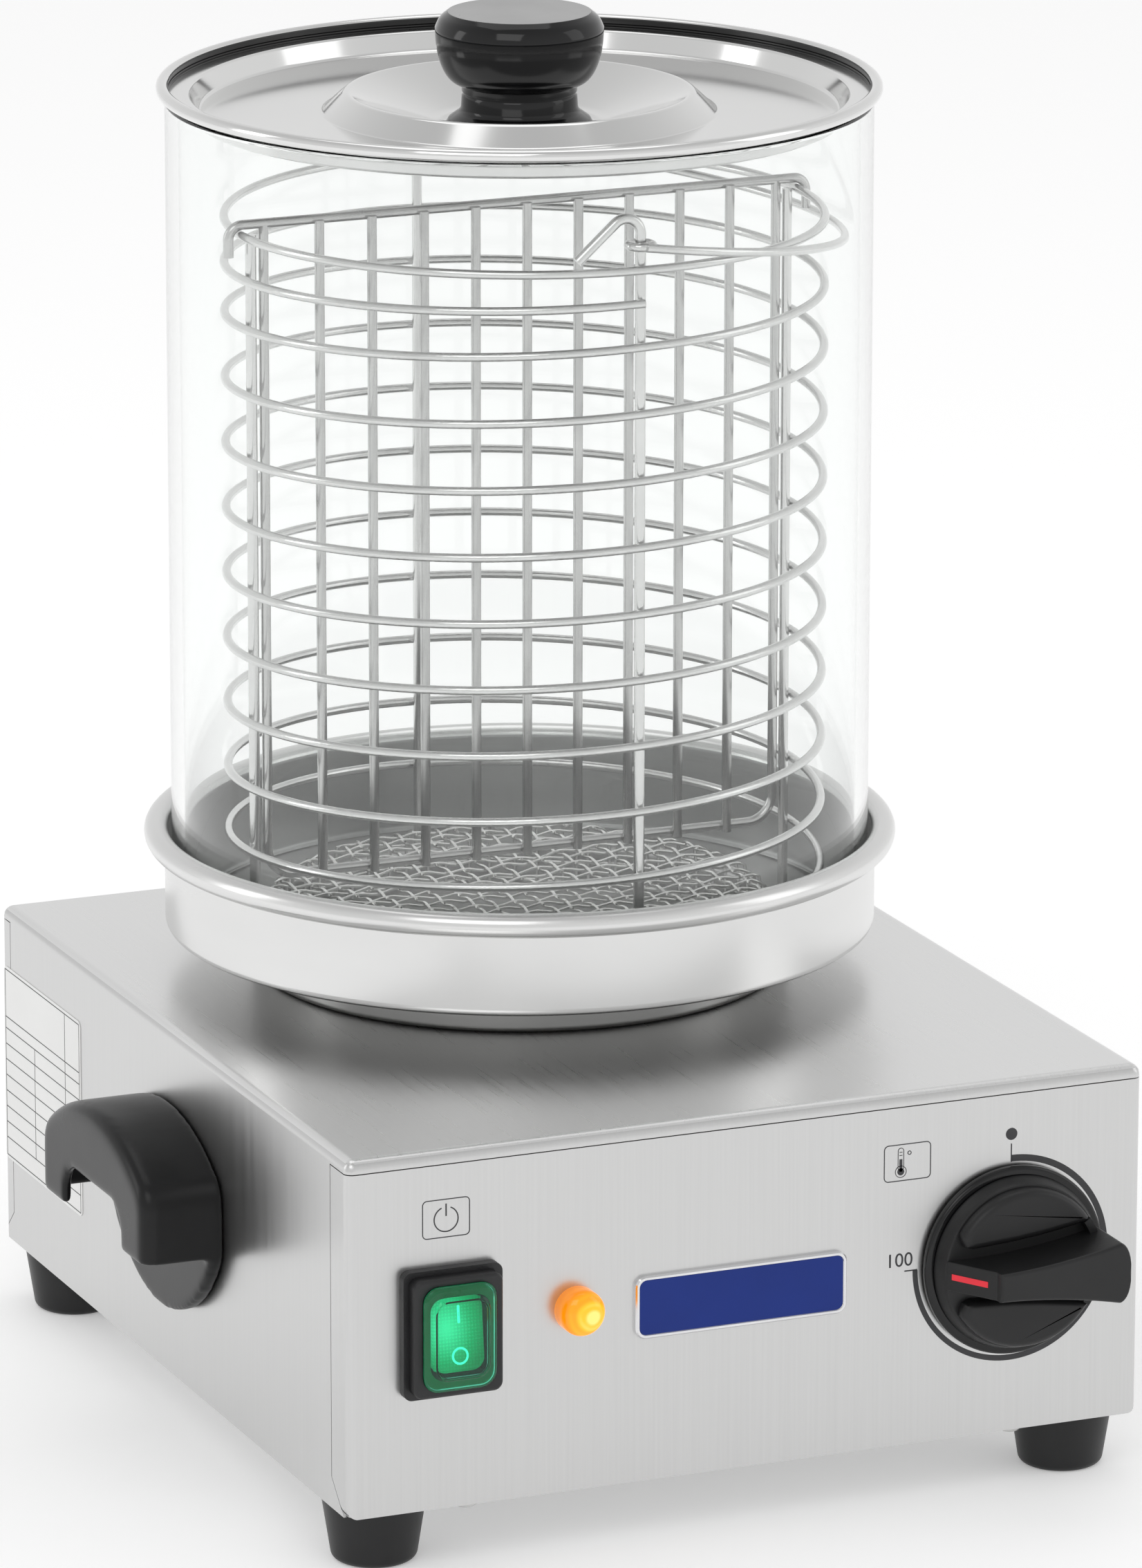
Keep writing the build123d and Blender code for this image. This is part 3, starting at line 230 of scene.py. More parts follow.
def glow_ball(tree, centre, scale):
    """Brightness about a point, in millimetres, that falls to nothing 1 / scale metres away."""
    node = tree.nodes.new("ShaderNodeTexGradient")
    node.gradient_type = "SPHERICAL"
    offset = tuple(-k * c * MM for k, c in zip(scale, centre))
    tree.links.new(place(tree, scale, offset), node.inputs["Vector"])
    return node.outputs["Fac"]


def light_up(tree, shader, color, strength):
    tree.links.new(color, shader.inputs["Emission Color"])
    shader.inputs["Emission Strength"].default_value = strength


# the lit rocker: a bright patch up on the left behind a fine square grid
rocker_green, tree, shader = principled("rocker_green", (0.0, 0.22, 0.11), 0.0, 0.28)
crossing = tree.nodes.new("ShaderNodeMath")
crossing.operation = "MULTIPLY"
for socket, direction in enumerate(("X", "Z")):
    wave = tree.nodes.new("ShaderNodeTexWave")
    wave.bands_direction = direction
    wave.inputs["Scale"].default_value = 330.0
    tree.links.new(place(tree), wave.inputs["Vector"])
    tree.links.new(wave.outputs["Fac"], crossing.inputs[socket])
patch = glow_ball(tree, (SWITCH[0] - 3.5, -100.0, SWITCH[1] + 2.5), (85, 1, 68))
light_up(tree, shader, ramp(
    tree, add_scaled(tree, crossing.outputs[0], 0.22, patch),
    (0.0, (0.0, 0.13, 0.06)), (0.4, (0.0, 0.38, 0.19)), (0.95, (0.30, 0.95, 0.65))
), 1.15)

# the lit amber lens: bright low on its right, deeper at its rim
lamp_amber, tree, shader = principled("lamp_amber", (0.60, 0.20, 0.005), 0.0, 0.10)
lamp_heart = (LAMP[0] + 1.6, FRONT_Y - 8.0, LAMP[1] - 0.6)
ripples = tree.nodes.new("ShaderNodeTexWave")
ripples.wave_type = "RINGS"
ripples.rings_direction = "SPHERICAL"
ripples.inputs["Scale"].default_value = 120.0
ripples.inputs["Distortion"].default_value = 3.0
ripples.inputs["Detail"].default_value = 1.0
tree.links.new(place(tree, (1, 1, 1), tuple(-c * MM for c in lamp_heart)), ripples.inputs["Vector"])
heart = glow_ball(tree, lamp_heart, (105, 105, 105))
light_up(tree, shader, ramp(
    tree, add_scaled(tree, ripples.outputs["Fac"], 0.16, heart),
    (0.05, (0.55, 0.14, 0.0)), (0.45, (0.85, 0.27, 0.0)), (0.72, (1.0, 0.50, 0.02)), (0.95, (1.0, 0.82, 0.25))
), 0.9)


# ---- mesh helpers ----
def weigh(mesh, angle):
    """Normals led by the larger faces, so that a flat beside a small rounding stays flat."""
    limit = cos(radians(angle))
    around = [[] for _ in mesh.vertices]
    for polygon in mesh.polygons:
        for vertex in polygon.vertices:
            around[vertex].append((polygon.normal, polygon.area))
    normals = []
    for polygon in mesh.polygons:
        own = polygon.normal
        for vertex in polygon.vertices:
            total = Vector((0, 0, 0))
            for normal, area in around[vertex]:
                if normal.dot(own) > limit:
                    total += normal * area
            normals.append(total.normalized() if total.length else own.copy())
    mesh.normals_split_custom_set(normals)


def mesh_object(name, bm, materials, smooth_angle=40, weighed=True):
    """A linked object from a bmesh, smooth up to an angle, with one material or a list of them."""
    mesh = bpy.data.meshes.new(name)
    bmesh.ops.recalc_face_normals(bm, faces=bm.faces)
    bm.to_mesh(mesh)
    bm.free()
    for material in materials if isinstance(materials, (list, tuple)) else [materials]:
        mesh.materials.append(material)
    for polygon in mesh.polygons:
        polygon.use_smooth = True
    if weighed:
        weigh(mesh, smooth_angle)
    else:
        mesh.set_sharp_from_angle(angle=radians(smooth_angle))
    piece = bpy.data.objects.new(name, mesh)
    bpy.context.scene.collection.objects.link(piece)
    return piece


def settle(piece, body, slot, *replaced):
    """Gives a piece its body and hides the solids that it stands for; slot is not used."""
    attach(piece, body)
    if replaced:
        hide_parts(*replaced)
    return piece


def bent(corners, steps=6, closed=False):
    """Path through 2-D or 3-D corners (point, radius) with tangent arcs at those that have a radius."""
    path = []
    count = len(corners)
    for i, (point, radius) in enumerate(corners):
        point = Vector(point)
        if radius == 0 or (not closed and i in (0, count - 1)):
            path.append(point)
            continue
        before = (Vector(corners[i - 1][0]) - point).normalized()
        after = (Vector(corners[(i + 1) % count][0]) - point).normalized()
        half = before.angle(after) / 2
        reach = radius / tan(half)
        centre = point + (before + after).normalized() * (radius / sin(half))
        start = point + before * reach - centre
        end = point + after * reach - centre
        turn = start.angle(end)
        for k in range(steps + 1):
            t = k / steps
            path.append(centre + (start * sin((1 - t) * turn) + end * sin(t * turn)) / sin(turn))
    return path


def lathe(name, outline, material, segments=256, centre=(0, AXIS_Y), smooth_angle=40,
          second=None, ahead=False):
    """Closed outline of (radius, level) turned about an upright axis or, ahead, one out of the front panel.

    second is (test of a face's radius and level, material) for the faces that take another material.
    """
    def spot(radius, level, turn):
        if ahead:
            return (centre[0] + radius * cos(turn), FRONT_Y - level, centre[1] + radius * sin(turn))
        return (centre[0] + radius * cos(turn), centre[1] + radius * sin(turn), level)

    bm = bmesh.new()
    rings = []
    for radius, level in outline:
        if radius < 1e-6:
            rings.append([bm.verts.new(Vector(spot(0, level, 0)) * MM)] * segments)
        else:
            turns = [2 * pi * k / segments for k in range(segments)]
            rings.append([bm.verts.new(Vector(spot(radius, level, turn)) * MM) for turn in turns])
    for i, (a, b) in enumerate(zip(rings, rings[1:] + rings[:1])):
        if a[0] is a[1] and b[0] is b[1]:
            continue
        middle = (Vector(outline[i]) + Vector(outline[(i + 1) % len(outline)])) / 2
        for k in range(segments):
            n = (k + 1) % segments
            corners = []
            for vertex in (a[k], a[n], b[n], b[k]):
                if vertex not in corners:
                    corners.append(vertex)
            face = bm.faces.new(corners)
            if second and second[0](middle.x, middle.y):
                face.material_index = 1
    materials = [material, second[1]] if second else material
    return mesh_object(name, bm, materials, smooth_angle)


def add_tube(bm, path, radius, sides, closed=False):
    """Round tube along a 3-D path, in millimetres, added to a mesh, with flat ends."""
    points = [Vector(p) for p in path]
    count = len(points)
    normal = None
    rings = []
    for i, point in enumerate(points):
        before = points[i - 1] if (i or closed) else point
        after = points[(i + 1) % count] if (i < count - 1 or closed) else point
        along = (after - before).normalized()
        if normal is None:
            normal = along.orthogonal().normalized()
        normal = (normal - along * normal.dot(along)).normalized()
        side = along.cross(normal)
        turns = [2 * pi * k / sides for k in range(sides)]
        rings.append([
            bm.verts.new((point + (normal * cos(turn) + side * sin(turn)) * radius) * MM) for turn in turns
        ])
    pairs = list(zip(rings, rings[1:]))
    if closed:
        twist = min(range(sides), key=lambda s: (rings[-1][0].co - rings[0][s].co).length)
        pairs.append((rings[-1], rings[0][twist:] + rings[0][:twist]))
    for a, b in pairs:
        for k in range(sides):
            bm.faces.new((a[k], a[(k + 1) % sides], b[(k + 1) % sides], b[k]))
    if not closed:
        bm.faces.new(rings[0][::-1])
        bm.faces.new(rings[-1])


def loop_rect(width, height, radius, steps=6):
    """Rounded rectangle about the origin as a list of 2-D points."""
    w, h = width / 2, height / 2
    corners = [((w, h), radius), ((-w, h), radius), ((-w, -h), radius), ((w, -h), radius)]
    return bent(corners, steps, closed=True)


def stack(bm, loops, index=0, cap=True, ring=False):
    """Joins loops of 3-D points, in millimetres, one on another, and returns their vertices.

    ring joins the last to the first, and otherwise cap closes both ends.
    """
    levels = [[bm.verts.new(Vector(p) * MM) for p in loop] for loop in loops]
    pairs = list(zip(levels, levels[1:]))
    if ring:
        pairs.append((levels[-1], levels[0]))
    faces = []
    for a, b in pairs:
        count = len(a)
        for k in range(count):
            faces.append(bm.faces.new((a[k], a[(k + 1) % count], b[(k + 1) % count], b[k])))
    if cap and not ring:
        faces.append(bm.faces.new(levels[0][::-1]))
        faces.append(bm.faces.new(levels[-1]))
    for face in faces:
        face.material_index = index
    return levels


def on_front(points, centre, depth):
    """2-D points round a centre on the front panel as 3-D points depth ahead of it."""
    return [(centre[0] + p[0], FRONT_Y - depth, centre[1] + p[1]) for p in points]


def circle(radius, count=40, centre=(0, 0)):
    turns = [2 * pi * k / count for k in range(count)]
    return [(centre[0] + radius * cos(turn), centre[1] + radius * sin(turn)) for turn in turns]


def arc(centre, radius, start, end, count=48):
    """2-D points from one angle to another, in degrees, both ends among them."""
    turns = [radians(start + (end - start) * k / count) for k in range(count + 1)]
    return [(centre[0] + radius * cos(turn), centre[1] + radius * sin(turn)) for turn in turns]


# ---- materials of the solids that stay ----
def finish(material, *names):
    """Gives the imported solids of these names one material."""
    for name in names:
        node = nodes[name]
        node.data.materials.clear()
        node.data.materials.append(material)


def numbered(stem, count):
    return [f"{stem}_{i}" for i in range(1, count + 1)]


finish(casing_steel, "front_panel", "rear_panel", "bottom_plate")
finish(rubber, *numbered("foot", 4))
finish(screw_steel, *numbered("foot_screw", 4), *numbered("panel_screw", 2), *numbered("handle_screw", 4))
finish(screw_steel, "lid_screw", "thermostat_shaft", "clamp_nut", "element_clamp")
finish(label_white, "side_label")
finish(cast_grey, "heater_plate")
finish(sheath, "heating_element", "sensing_bulb")
finish(ceramic, "thermal_cutout", "terminal_block", "lamp_body")
finish(nylon, "cable_gland", "gland_nut")
finish(switch_black, "switch_housing")
finish(plated, "thermostat")
finish(brass, "thermostat_nut")
finish(wire_steel, "basket_helix", "basket_ring", "basket_bail")
finish(divider_steel, "divider")
finish(wire_steel, *(f"basket_post_{side}" for side in ("front", "rear", "left", "right")))


def softened(name, node_name, material, voxel, rounds):
    """The solid's own shape with its edges worn round, as a moulding's are."""
    source = nodes[node_name]
    piece = bpy.data.objects.new(name, source.data.copy())
    bpy.context.scene.collection.objects.link(piece)
    piece.matrix_world = source.matrix_world.copy()
    remesh = piece.modifiers.new("remesh", "REMESH")
    remesh.mode = "VOXEL"
    remesh.voxel_size = voxel * MM
    smooth = piece.modifiers.new("smooth", "SMOOTH")
    smooth.factor = 0.5
    smooth.iterations = rounds
    bpy.context.view_layer.update()
    mesh = bpy.data.meshes.new_from_object(piece.evaluated_get(bpy.context.evaluated_depsgraph_get()))
    piece.modifiers.clear()
    piece.data = mesh
    mesh.materials.clear()
    mesh.materials.append(material)
    for polygon in mesh.polygons:
        polygon.use_smooth = True
    return piece


for hand in ("left", "right"):
    grip = softened(f"handle_{hand}_moulding", f"handle_{hand}", handle_black, 0.9, 14)
    settle(grip, "base", "black_satin", f"handle_{hand}")

shell = nodes["body_shell"]
shell.data.materials.clear()
shell.data.materials.append(casing_steel)
shell.data.materials.append(top_steel_painted_light)
# faces that look up take the lighter steel: painted light on the casing's top
for polygon in shell.data.polygons:
    polygon.material_index = 1 if polygon.normal.z > 0.7 else 0

# ---- pan: a pressed step that the glass stands on, and a rolled rim ----
PAN_BOTTOM = 120.0
PAN_SHEET = 1.0
STEP_RADIUS = 77.0
WALL_RADIUS = 102.0
WALL_TOP = 157.0
step_inner = STEP_RADIUS - PAN_SHEET
wall_inner = WALL_RADIUS - PAN_SHEET
pan_outline = bent([
    ((0, PAN_BOTTOM), 0), ((STEP_RADIUS, PAN_BOTTOM), 2.0), ((STEP_RADIUS, LEDGE - PAN_SHEET), 1.6),
    ((WALL_RADIUS, LEDGE - PAN_SHEET), 2.4), ((WALL_RADIUS, WALL_TOP), 0),
], 6)
pan_outline += arc((104.4, RIM_LEVEL), 3.5, 226, 542, 19)
pan_outline += bent([
    ((wall_inner, WALL_TOP), 0), ((wall_inner, LEDGE), 1.0), ((step_inner, LEDGE), 1.5),
    ((step_inner, PAN_FLOOR), 1.5), ((0, PAN_FLOOR), 0)
], 5)


def within_pan(radius, level):
    """The faces that look into the pan, without the upright of its step."""
    on_step = radius > 76.2 and level < 132.8
    return radius < 101.2 and level > 120.5 and not on_step


pan = lathe("pan_body", pan_outline, pan_steel, second=(within_pan, pan_inner))
# the outside of the step takes the darker steel as painted shade
pan.data.materials.append(pan_step_painted_shade)
for polygon in pan.data.polygons:      # the outside of the step, in the shade over the casing
    reach = hypot(polygon.center.x, polygon.center.y - AXIS_Y * MM) / MM
    if polygon.material_index == 0 and 75 < reach < 84 and polygon.center.z < 132.2 * MM:
        polygon.material_index = 2
settle(pan, "pan", "pan_steel", "water_pan")

# ---- glass ----
GLASS_INNER = 96.2
GLASS_OUTER = 100.0
glass_outline = bent([
    ((GLASS_INNER, LEDGE), 1.2), ((GLASS_OUTER, LEDGE), 1.2),
    ((GLASS_OUTER, GLASS_TOP), 1.2), ((GLASS_INNER, GLASS_TOP), 1.2),
], 5, closed=True)
glass = lathe("glass_tube", glass_outline, clear_glass, 320)
settle(glass, "glass", "clear_glass", "glass_cylinder")

# ---- lid: one pressed sheet with a bowl, a ring-shaped recess about it and a rolled edge ----
lid_outline = bent([
    ((0, 364.7), 0), ((24.0, 364.7), 12), ((48.8, 373.7), 2.2), ((55.3, 367.7), 1.4), ((91.2, 367.7), 1.8),
    ((93.4, GLASS_TOP), 1.0), ((98.9, GLASS_TOP + 0.1), 0.4), ((99.1, 375.0), 0),
], 5)
lid_outline += arc((100.6, 375.8), 1.8, 205, 525, 16)
lid_outline += bent([
    ((99.3, 374.6), 0), ((98.6, 374.3), 0.2), ((93.0, 374.2), 1.0), ((90.6, 368.6), 1.4),
    ((55.7, 368.6), 1.4), ((49.0, 374.7), 2.2), ((24.0, 365.6), 12), ((0, 365.6), 0),
], 6)


def beside_roll(radius, level):
    """The faces in the groove beside the rolled edge, which take near-black steel as painted shade."""
    return 98.5 < radius < 99.6 and 374.2 < level < 376.7


lid = lathe("lid_pressing", lid_outline, lid_steel, smooth_angle=50, second=(beside_roll, lid_groove_painted_shade))
settle(lid, "lid", "lid_steel", "lid")

# ---- the lid's knob: a foot, a ringed stem and a crown that swells as it rises ----
STEM = 16.3
knob_low = 365.6
knob_top = knob_low + 31.4
knob_outline = bent([
    ((0, knob_low), 0), ((20.6, knob_low), 0), ((20.0, knob_low + 1.0), 0.5), ((16.6, knob_low + 3.4), 2.4),
    ((STEM, knob_low + 7.4), 0), ((STEM - 0.4, knob_low + 7.9), 0), ((STEM - 0.4, knob_low + 8.3), 0),
    ((STEM, knob_low + 8.8), 0), ((STEM, knob_low + 10.4), 0),
], 8)
knob_outline += [
    (16.4 + 7.4 * sin(radians(t)) ** 0.92, knob_low + 26.2 - 15.4 * cos(radians(t))) for t in range(4, 91, 5)
]
knob_outline += bent([
    ((23.8, knob_low + 26.9), 0), ((22.6, knob_low + 29.6), 5.0), ((20.2, knob_top), 0.9), ((0, knob_top), 0)
], 6)


# the knob's flat top, which takes the painted sheen
def on_knob_top(radius, level):
    return level > knob_top - 0.05


lid_knob = lathe(
    "lid_knob_turned", knob_outline, black_gloss, 192, smooth_angle=60, second=(on_knob_top, knob_top_painted_sheen)
)
settle(lid_knob, "lid", "black_gloss", "lid_knob")

# ---- woven mesh disc: two sets of crimped wires, crumpled a little, with its rim turned down ----
MESH_TOP = 141.4
MESH_RADIUS = 73.0
MESH_PITCH = 6.4
RIM_WIDTH = 7.0                  # of the band that bends down
random.seed(11)
dents = [
    (random.uniform(-60, 60), random.uniform(-60, 60), random.uniform(8, 22), random.uniform(-2.2, 1.4))
    for _ in range(16)
]


def crumple(x, y):
    """How far the dents, each a (x, y, size, depth), lift the disc at a point."""
    return sum(depth * exp(-((x - cx) ** 2 + (y - cy) ** 2) / (size * size)) for cx, cy, size, depth in dents)


def mesh_wire(offset, across, phase):
    """One wire of the disc, along X or, across, along Y, with both ends turned down to the pan's floor."""
    half = (max(0.0, (MESH_RADIUS - 1.5) ** 2 - offset**2)) ** 0.5
    path = []
    steps = max(8, int(half * 2 / 2.1))
    drift = random.uniform(-0.9, 0.9)
    for k in range(steps + 1):
        s = -half + 2 * half * k / steps
        sway = drift * sin(s / 23 + offset) + 0.5 * sin(s / 9 + phase * 2 + offset)
        x, y = (s, offset + sway) if not across else (offset + sway, s)
        rim = max(0.0, (hypot(x, y) - (MESH_RADIUS - RIM_WIDTH)) / RIM_WIDTH)
        weave = 0.5 * cos(pi * s / MESH_PITCH + phase * pi) * (1 if across else -1)
        dent = crumple(x, y) * (1 - min(1, rim))
        path.append((x, AXIS_Y + y, MESH_TOP + weave + dent - 2.6 * rim**2))
    ends = []
    for x, y, z in (path[0], path[-1]):
        x, y = x * 1.012, AXIS_Y + (y - AXIS_Y) * 1.012
        ends.append([(x, y, PAN_FLOOR + 1.0), (x, y, z - 6)])
    return ends[0] + path + ends[1][::-1]


mesh_bm = bmesh.new()
rows = int((MESH_RADIUS - 6) // MESH_PITCH)
for row in range(-rows, rows + 1):
    for across in (False, True):
        add_tube(mesh_bm, mesh_wire(row * MESH_PITCH, across, row % 2), 0.48, 6)
for level, radius in ((136.0, 73.3), (129.0, 73.5), (PAN_FLOOR + 1.2, 73.4)):
    turns = [2 * pi * k / 120 for k in range(120)]
    hoop = [(radius * cos(t), AXIS_Y + radius * sin(t), level + 0.5 * sin(11 * t)) for t in turns]
    add_tube(mesh_bm, hoop, 0.5, 6, closed=True)
woven = mesh_object("woven_mesh", mesh_bm, mesh_steel, 60, weighed=False)
settle(woven, "pan", "mesh_steel", "mesh_disc")

# ---- switch: hood over the lit rocker ----
hood_sizes = [                   # width, height, corner radius and distance ahead of the panel
    (21.5, 30.0, 4.6, 7.5), (21.5, 30.0, 4.6, 8.3), (20.9, 29.4, 4.5, 8.9), (19.2, 27.4, 4.3, 9.2),
    (17.4, 24.4, 4.2, 9.3), (16.4, 23.2, 4.0, 9.6), (15.8, 22.4, 3.8, 10.1),
]
HOOD_WALL = 0.7
hood_loops = [on_front(loop_rect(w, h, r), SWITCH, d) for w, h, r, d in hood_sizes]
inner_loops = [on_front(loop_rect(20.1, 28.6, 4.0), SWITCH, 7.5)] + [
    on_front(loop_rect(w - 2 * HOOD_WALL, h - 2 * HOOD_WALL, r - 0.6), SWITCH, d - HOOD_WALL)
    for w, h, r, d in hood_sizes[1:]
]
hood_bm = bmesh.new()
outside = stack(hood_bm, hood_loops, cap=False)
inside = stack(hood_bm, inner_loops, cap=False)
count = len(outside[0])
for k in range(count):
    n = (k + 1) % count
    hood_bm.faces.new((outside[0][k], outside[0][n], inside[0][n], inside[0][k]))
hood_bm.faces.new(outside[-1])
hood_bm.faces.new(inside[-1])
hood = mesh_object("switch_hood", hood_bm, boot_glass, 50)
settle(hood, "base", "switch_green", "switch_boot")

bezel_bm = bmesh.new()
stack(bezel_bm, [
    on_front(loop_rect(20.6, 29.2, 4.2), SWITCH, 7.45), on_front(loop_rect(20.6, 29.2, 4.2), SWITCH, 7.56),
    on_front(loop_rect(17.0, 23.0, 3.6), SWITCH, 7.56), on_front(loop_rect(17.0, 23.0, 3.6), SWITCH, 7.45),
], ring=True)
bezel = mesh_object("switch_bezel", bezel_bm, bezel_green, 30)
settle(bezel, "base", "switch_green")

ROCKER_TILT = radians(6.563)
ROCKER_FACE = 4.2                # from the pins to its face
PIN_Y = FRONT_Y - 2.4


def on_rocker(x, z, lift):
    """A point of the rocker's tilted frame, in millimetres, lift above its face."""
    out = ROCKER_FACE + lift
    return (
        SWITCH[0] + x,
        PIN_Y - out * cos(ROCKER_TILT) + z * sin(ROCKER_TILT),
        SWITCH[1] + z * cos(ROCKER_TILT) + out * sin(ROCKER_TILT),
    )


rocker_bm = bmesh.new()
stack(rocker_bm, [
    [on_rocker(x, z, lift) for x, z in loop_rect(15.0 - 2 * inset, 21.0 - 2 * inset, 3.6 - inset)]
    for inset, lift in ((0.6, -5.6), (0.0, -4.6), (0.0, -0.7), (0.25, -0.25), (0.8, 0.0))
])
rocker = mesh_object("rocker_key", rocker_bm, rocker_green, 50)
settle(rocker, "rocker", "rocker_green", "switch_rocker")


PRINT = 0.06                     # thickness of every printed mark


def rocker_mark(name, outer, inner):
    """A band of print between two loops on the rocker's face."""
    bm = bmesh.new()
    levels = ((outer, 0.0), (outer, PRINT), (inner, PRINT), (inner, 0.0))
    stack(bm, [[on_rocker(x, z, lift) for x, z in loop] for loop, lift in levels], ring=True)
    settle(mesh_object(name, bm, mark_cyan, 30), "rocker", "rocker_green")


RING_AT = (0.2, -6.0)
BAR_AT = (0.2, 5.6)
rocker_mark("rocker_ring", circle(2.45, centre=RING_AT), circle(1.85, centre=RING_AT))
bar = [(x + BAR_AT[0], z + BAR_AT[1]) for x, z in loop_rect(0.75, 5.0, 0.2, 3)]
rocker_mark("rocker_bar", bar, [(x * 0.2 + 0.8 * BAR_AT[0], z * 0.2 + 0.8 * BAR_AT[1]) for x, z in bar])

# ---- lamp: a short drum under a dome ----
LENS_RADIUS = 6.5
DRUM = 4.2
DOME = 4.2
lens_outline = [(0, 0), (LENS_RADIUS, 0), (LENS_RADIUS, DRUM)]
lens_outline += [(LENS_RADIUS * cos(radians(t)), DRUM + DOME * sin(radians(t))) for t in range(6, 90, 6)]
lens_outline.append((0, DRUM + DOME))
lens = lathe("lamp_dome", lens_outline, lamp_amber, 96, LAMP, 60, ahead=True)
settle(lens, "base", "lamp_amber", "lamp_lens")

# ---- control knob: skirt, body with two raised faces, waisted grip with its ramp, red pointer ----
skirt_outline = bent([
    ((9.0, 0.8), 0), ((27.2, 0.8), 0.3), ((27.2, 3.2), 1.1),
    ((24.6, 3.2), 0), ((24.2, 2.6), 0), ((9.0, 2.6), 0),
], 5)
skirt = lathe("knob_skirt_ring", skirt_outline, black_gloss, 192, KNOB, 50, ahead=True)
settle(skirt, "knob", "black_gloss", "knob_skirt")

BODY_TOP = 8.0                   # levels ahead of the panel
FACE_TOP = 12.0
GRIP_TOP = 25.0
BODY_EDGE = 22.9
GRIP_TAIL = -14.4                # where the grip's sides begin, and how long they are
GRIP_LENGTH = 36.4
knob_bm = bmesh.new()
body_rings = (                   # radius and level
    (24.4, 2.7), (25.0, 3.6), (24.9, 4.2),
    (24.0, BODY_TOP - 1.0), (23.5, BODY_TOP - 0.2), (BODY_EDGE, BODY_TOP),
)
stack(knob_bm, [on_front(circle(r, 128), KNOB, d) for r, d in body_rings])


def grip_half(u):
    """Half the grip's width at a distance u along it: narrow at its tail, wide at its nose."""
    t = (u - GRIP_TAIL) / GRIP_LENGTH
    return 4.1 + 0.9 * t + 3.7 * t * t


def face_outline(inset, mirror):
    """One raised face: an arc of the body's edge closed by a line beside the grip."""
    low = [(u, grip_half(u) + 3.5 + inset) for u in (19.2 - 1.2 * inset, 12, 4, -4, -12)]
    corner = [
        (-16.4, 7.4 + inset), (-18.6 + inset * 0.8, 8.2 + inset * 0.6), (-19.6 + inset, 10.4 + inset * 0.2)
    ]
    start = atan2(low[0][1], low[0][0])
    end = atan2(corner[-1][1] + 1.6, corner[-1][0])
    turns = [start + (end - start) * k / 40 for k in range(41)]
    edge = [((BODY_EDGE - inset) * cos(turn), (BODY_EDGE - inset) * sin(turn)) for turn in turns]
    return [(u, v * mirror) for u, v in edge + corner[::-1] + low[::-1]]


face_levels = (                  # inset and level
    (0.0, BODY_TOP - 0.5), (0.0, FACE_TOP - 2.4), (0.2, FACE_TOP - 1.5),
    (0.7, FACE_TOP - 0.7), (1.4, FACE_TOP - 0.2), (2.3, FACE_TOP),
)
for mirror in (1, -1):
    stack(knob_bm, [on_front(face_outline(inset, mirror), KNOB, d) for inset, d in face_levels])
bridge = arc((0, 0), 20.6, -34, 34, 24) + arc((0, 0), 22.8, 34, -34, 24)
stack(knob_bm, [on_front(bridge, KNOB, d) for d in (BODY_TOP - 0.5, FACE_TOP - 0.3)])


def grip_outline(inset):
    """The grip from its square tail to its round nose."""
    along = [GRIP_LENGTH * k / 14 for k in range(15)]
    sides = [(GRIP_TAIL + inset + u, grip_half(GRIP_TAIL + u) - inset) for u in along]
    nose = [
        (22.0 + (3.5 - inset * 0.5) * sin(radians(a)), (8.7 - inset) * cos(radians(a)) ** 0.8)
        for a in range(12, 90, 13)
    ]
    upper = sides + nose + [(25.5 - inset, 0)]
    return upper + [(u, -v) for u, v in upper[-2::-1]]


grip_levels = (                  # inset and level
    (0.0, BODY_TOP - 0.5), (0.0, GRIP_TOP - 0.9), (0.15, GRIP_TOP - 0.4),
    (0.5, GRIP_TOP - 0.08), (1.0, GRIP_TOP),
)
stack(knob_bm, [on_front(grip_outline(inset), KNOB, d) for inset, d in grip_levels])
ramp_profile = [(-23.4, 7.4), (-23.0, 8.4), (-14.6, 22.2), (-14.0, 22.6), (-12.0, 22.6), (-12.0, 7.4)]
stack(knob_bm, [
    [(KNOB[0] + u, FRONT_Y - (d - lower), KNOB[1] + v) for u, d in ramp_profile]
    for v, lower in ((-4.1, 0.45), (-3.8, 0.0), (3.8, 0.0), (4.1, 0.45))
])
control = mesh_object("control_knob_moulding", knob_bm, black_satin, 38)
settle(control, "knob", "black_satin", "control_knob")

POINTER_HALF = 0.85
pointer_bm = bmesh.new()
slope = Vector((8.4, 13.8)).normalized()
low_end, high_end = Vector((-22.3, 9.55)), Vector((-16.1, 19.74))      # on the ramp, (u, level)
lifted = Vector((-slope.y, slope.x)) * 0.12
corners = (
    (low_end, -POINTER_HALF), (high_end, -POINTER_HALF), (high_end, POINTER_HALF), (low_end, POINTER_HALF)
)
stack(pointer_bm, [
    [(KNOB[0] + p.x + e.x, FRONT_Y - p.y - e.y, KNOB[1] + v) for p, v in corners] for e in (-lifted, lifted)
])
pointer = mesh_object("pointer_inlay", pointer_bm, pointer_red, 30)
settle(pointer, "knob", "pointer_red", "knob_pointer")

# ---- badge: a bare enamelled plate in a polished frame ----
badge_bm = bmesh.new()
stack(badge_bm, [
    on_front(loop_rect(63.4, 18.0, 3.0), BADGE, 0.0), on_front(loop_rect(63.4, 18.0, 3.0), BADGE, 1.1),
    on_front(loop_rect(62.6, 17.2, 2.6), BADGE, 1.6), on_front(loop_rect(61.4, 16.0, 2.2), BADGE, 1.6),
    on_front(loop_rect(61.0, 15.6, 2.0), BADGE, 1.3),
], cap=False)
stack(badge_bm, [
    on_front(loop_rect(61.0, 15.6, 2.0), BADGE, 1.3), on_front(loop_rect(60.6, 15.2, 1.9), BADGE, 1.34),
], index=1)
badge = mesh_object("badge_plate", badge_bm, [badge_edge, badge_blue], 35)
settle(badge, "base", "badge_blue", "badge")

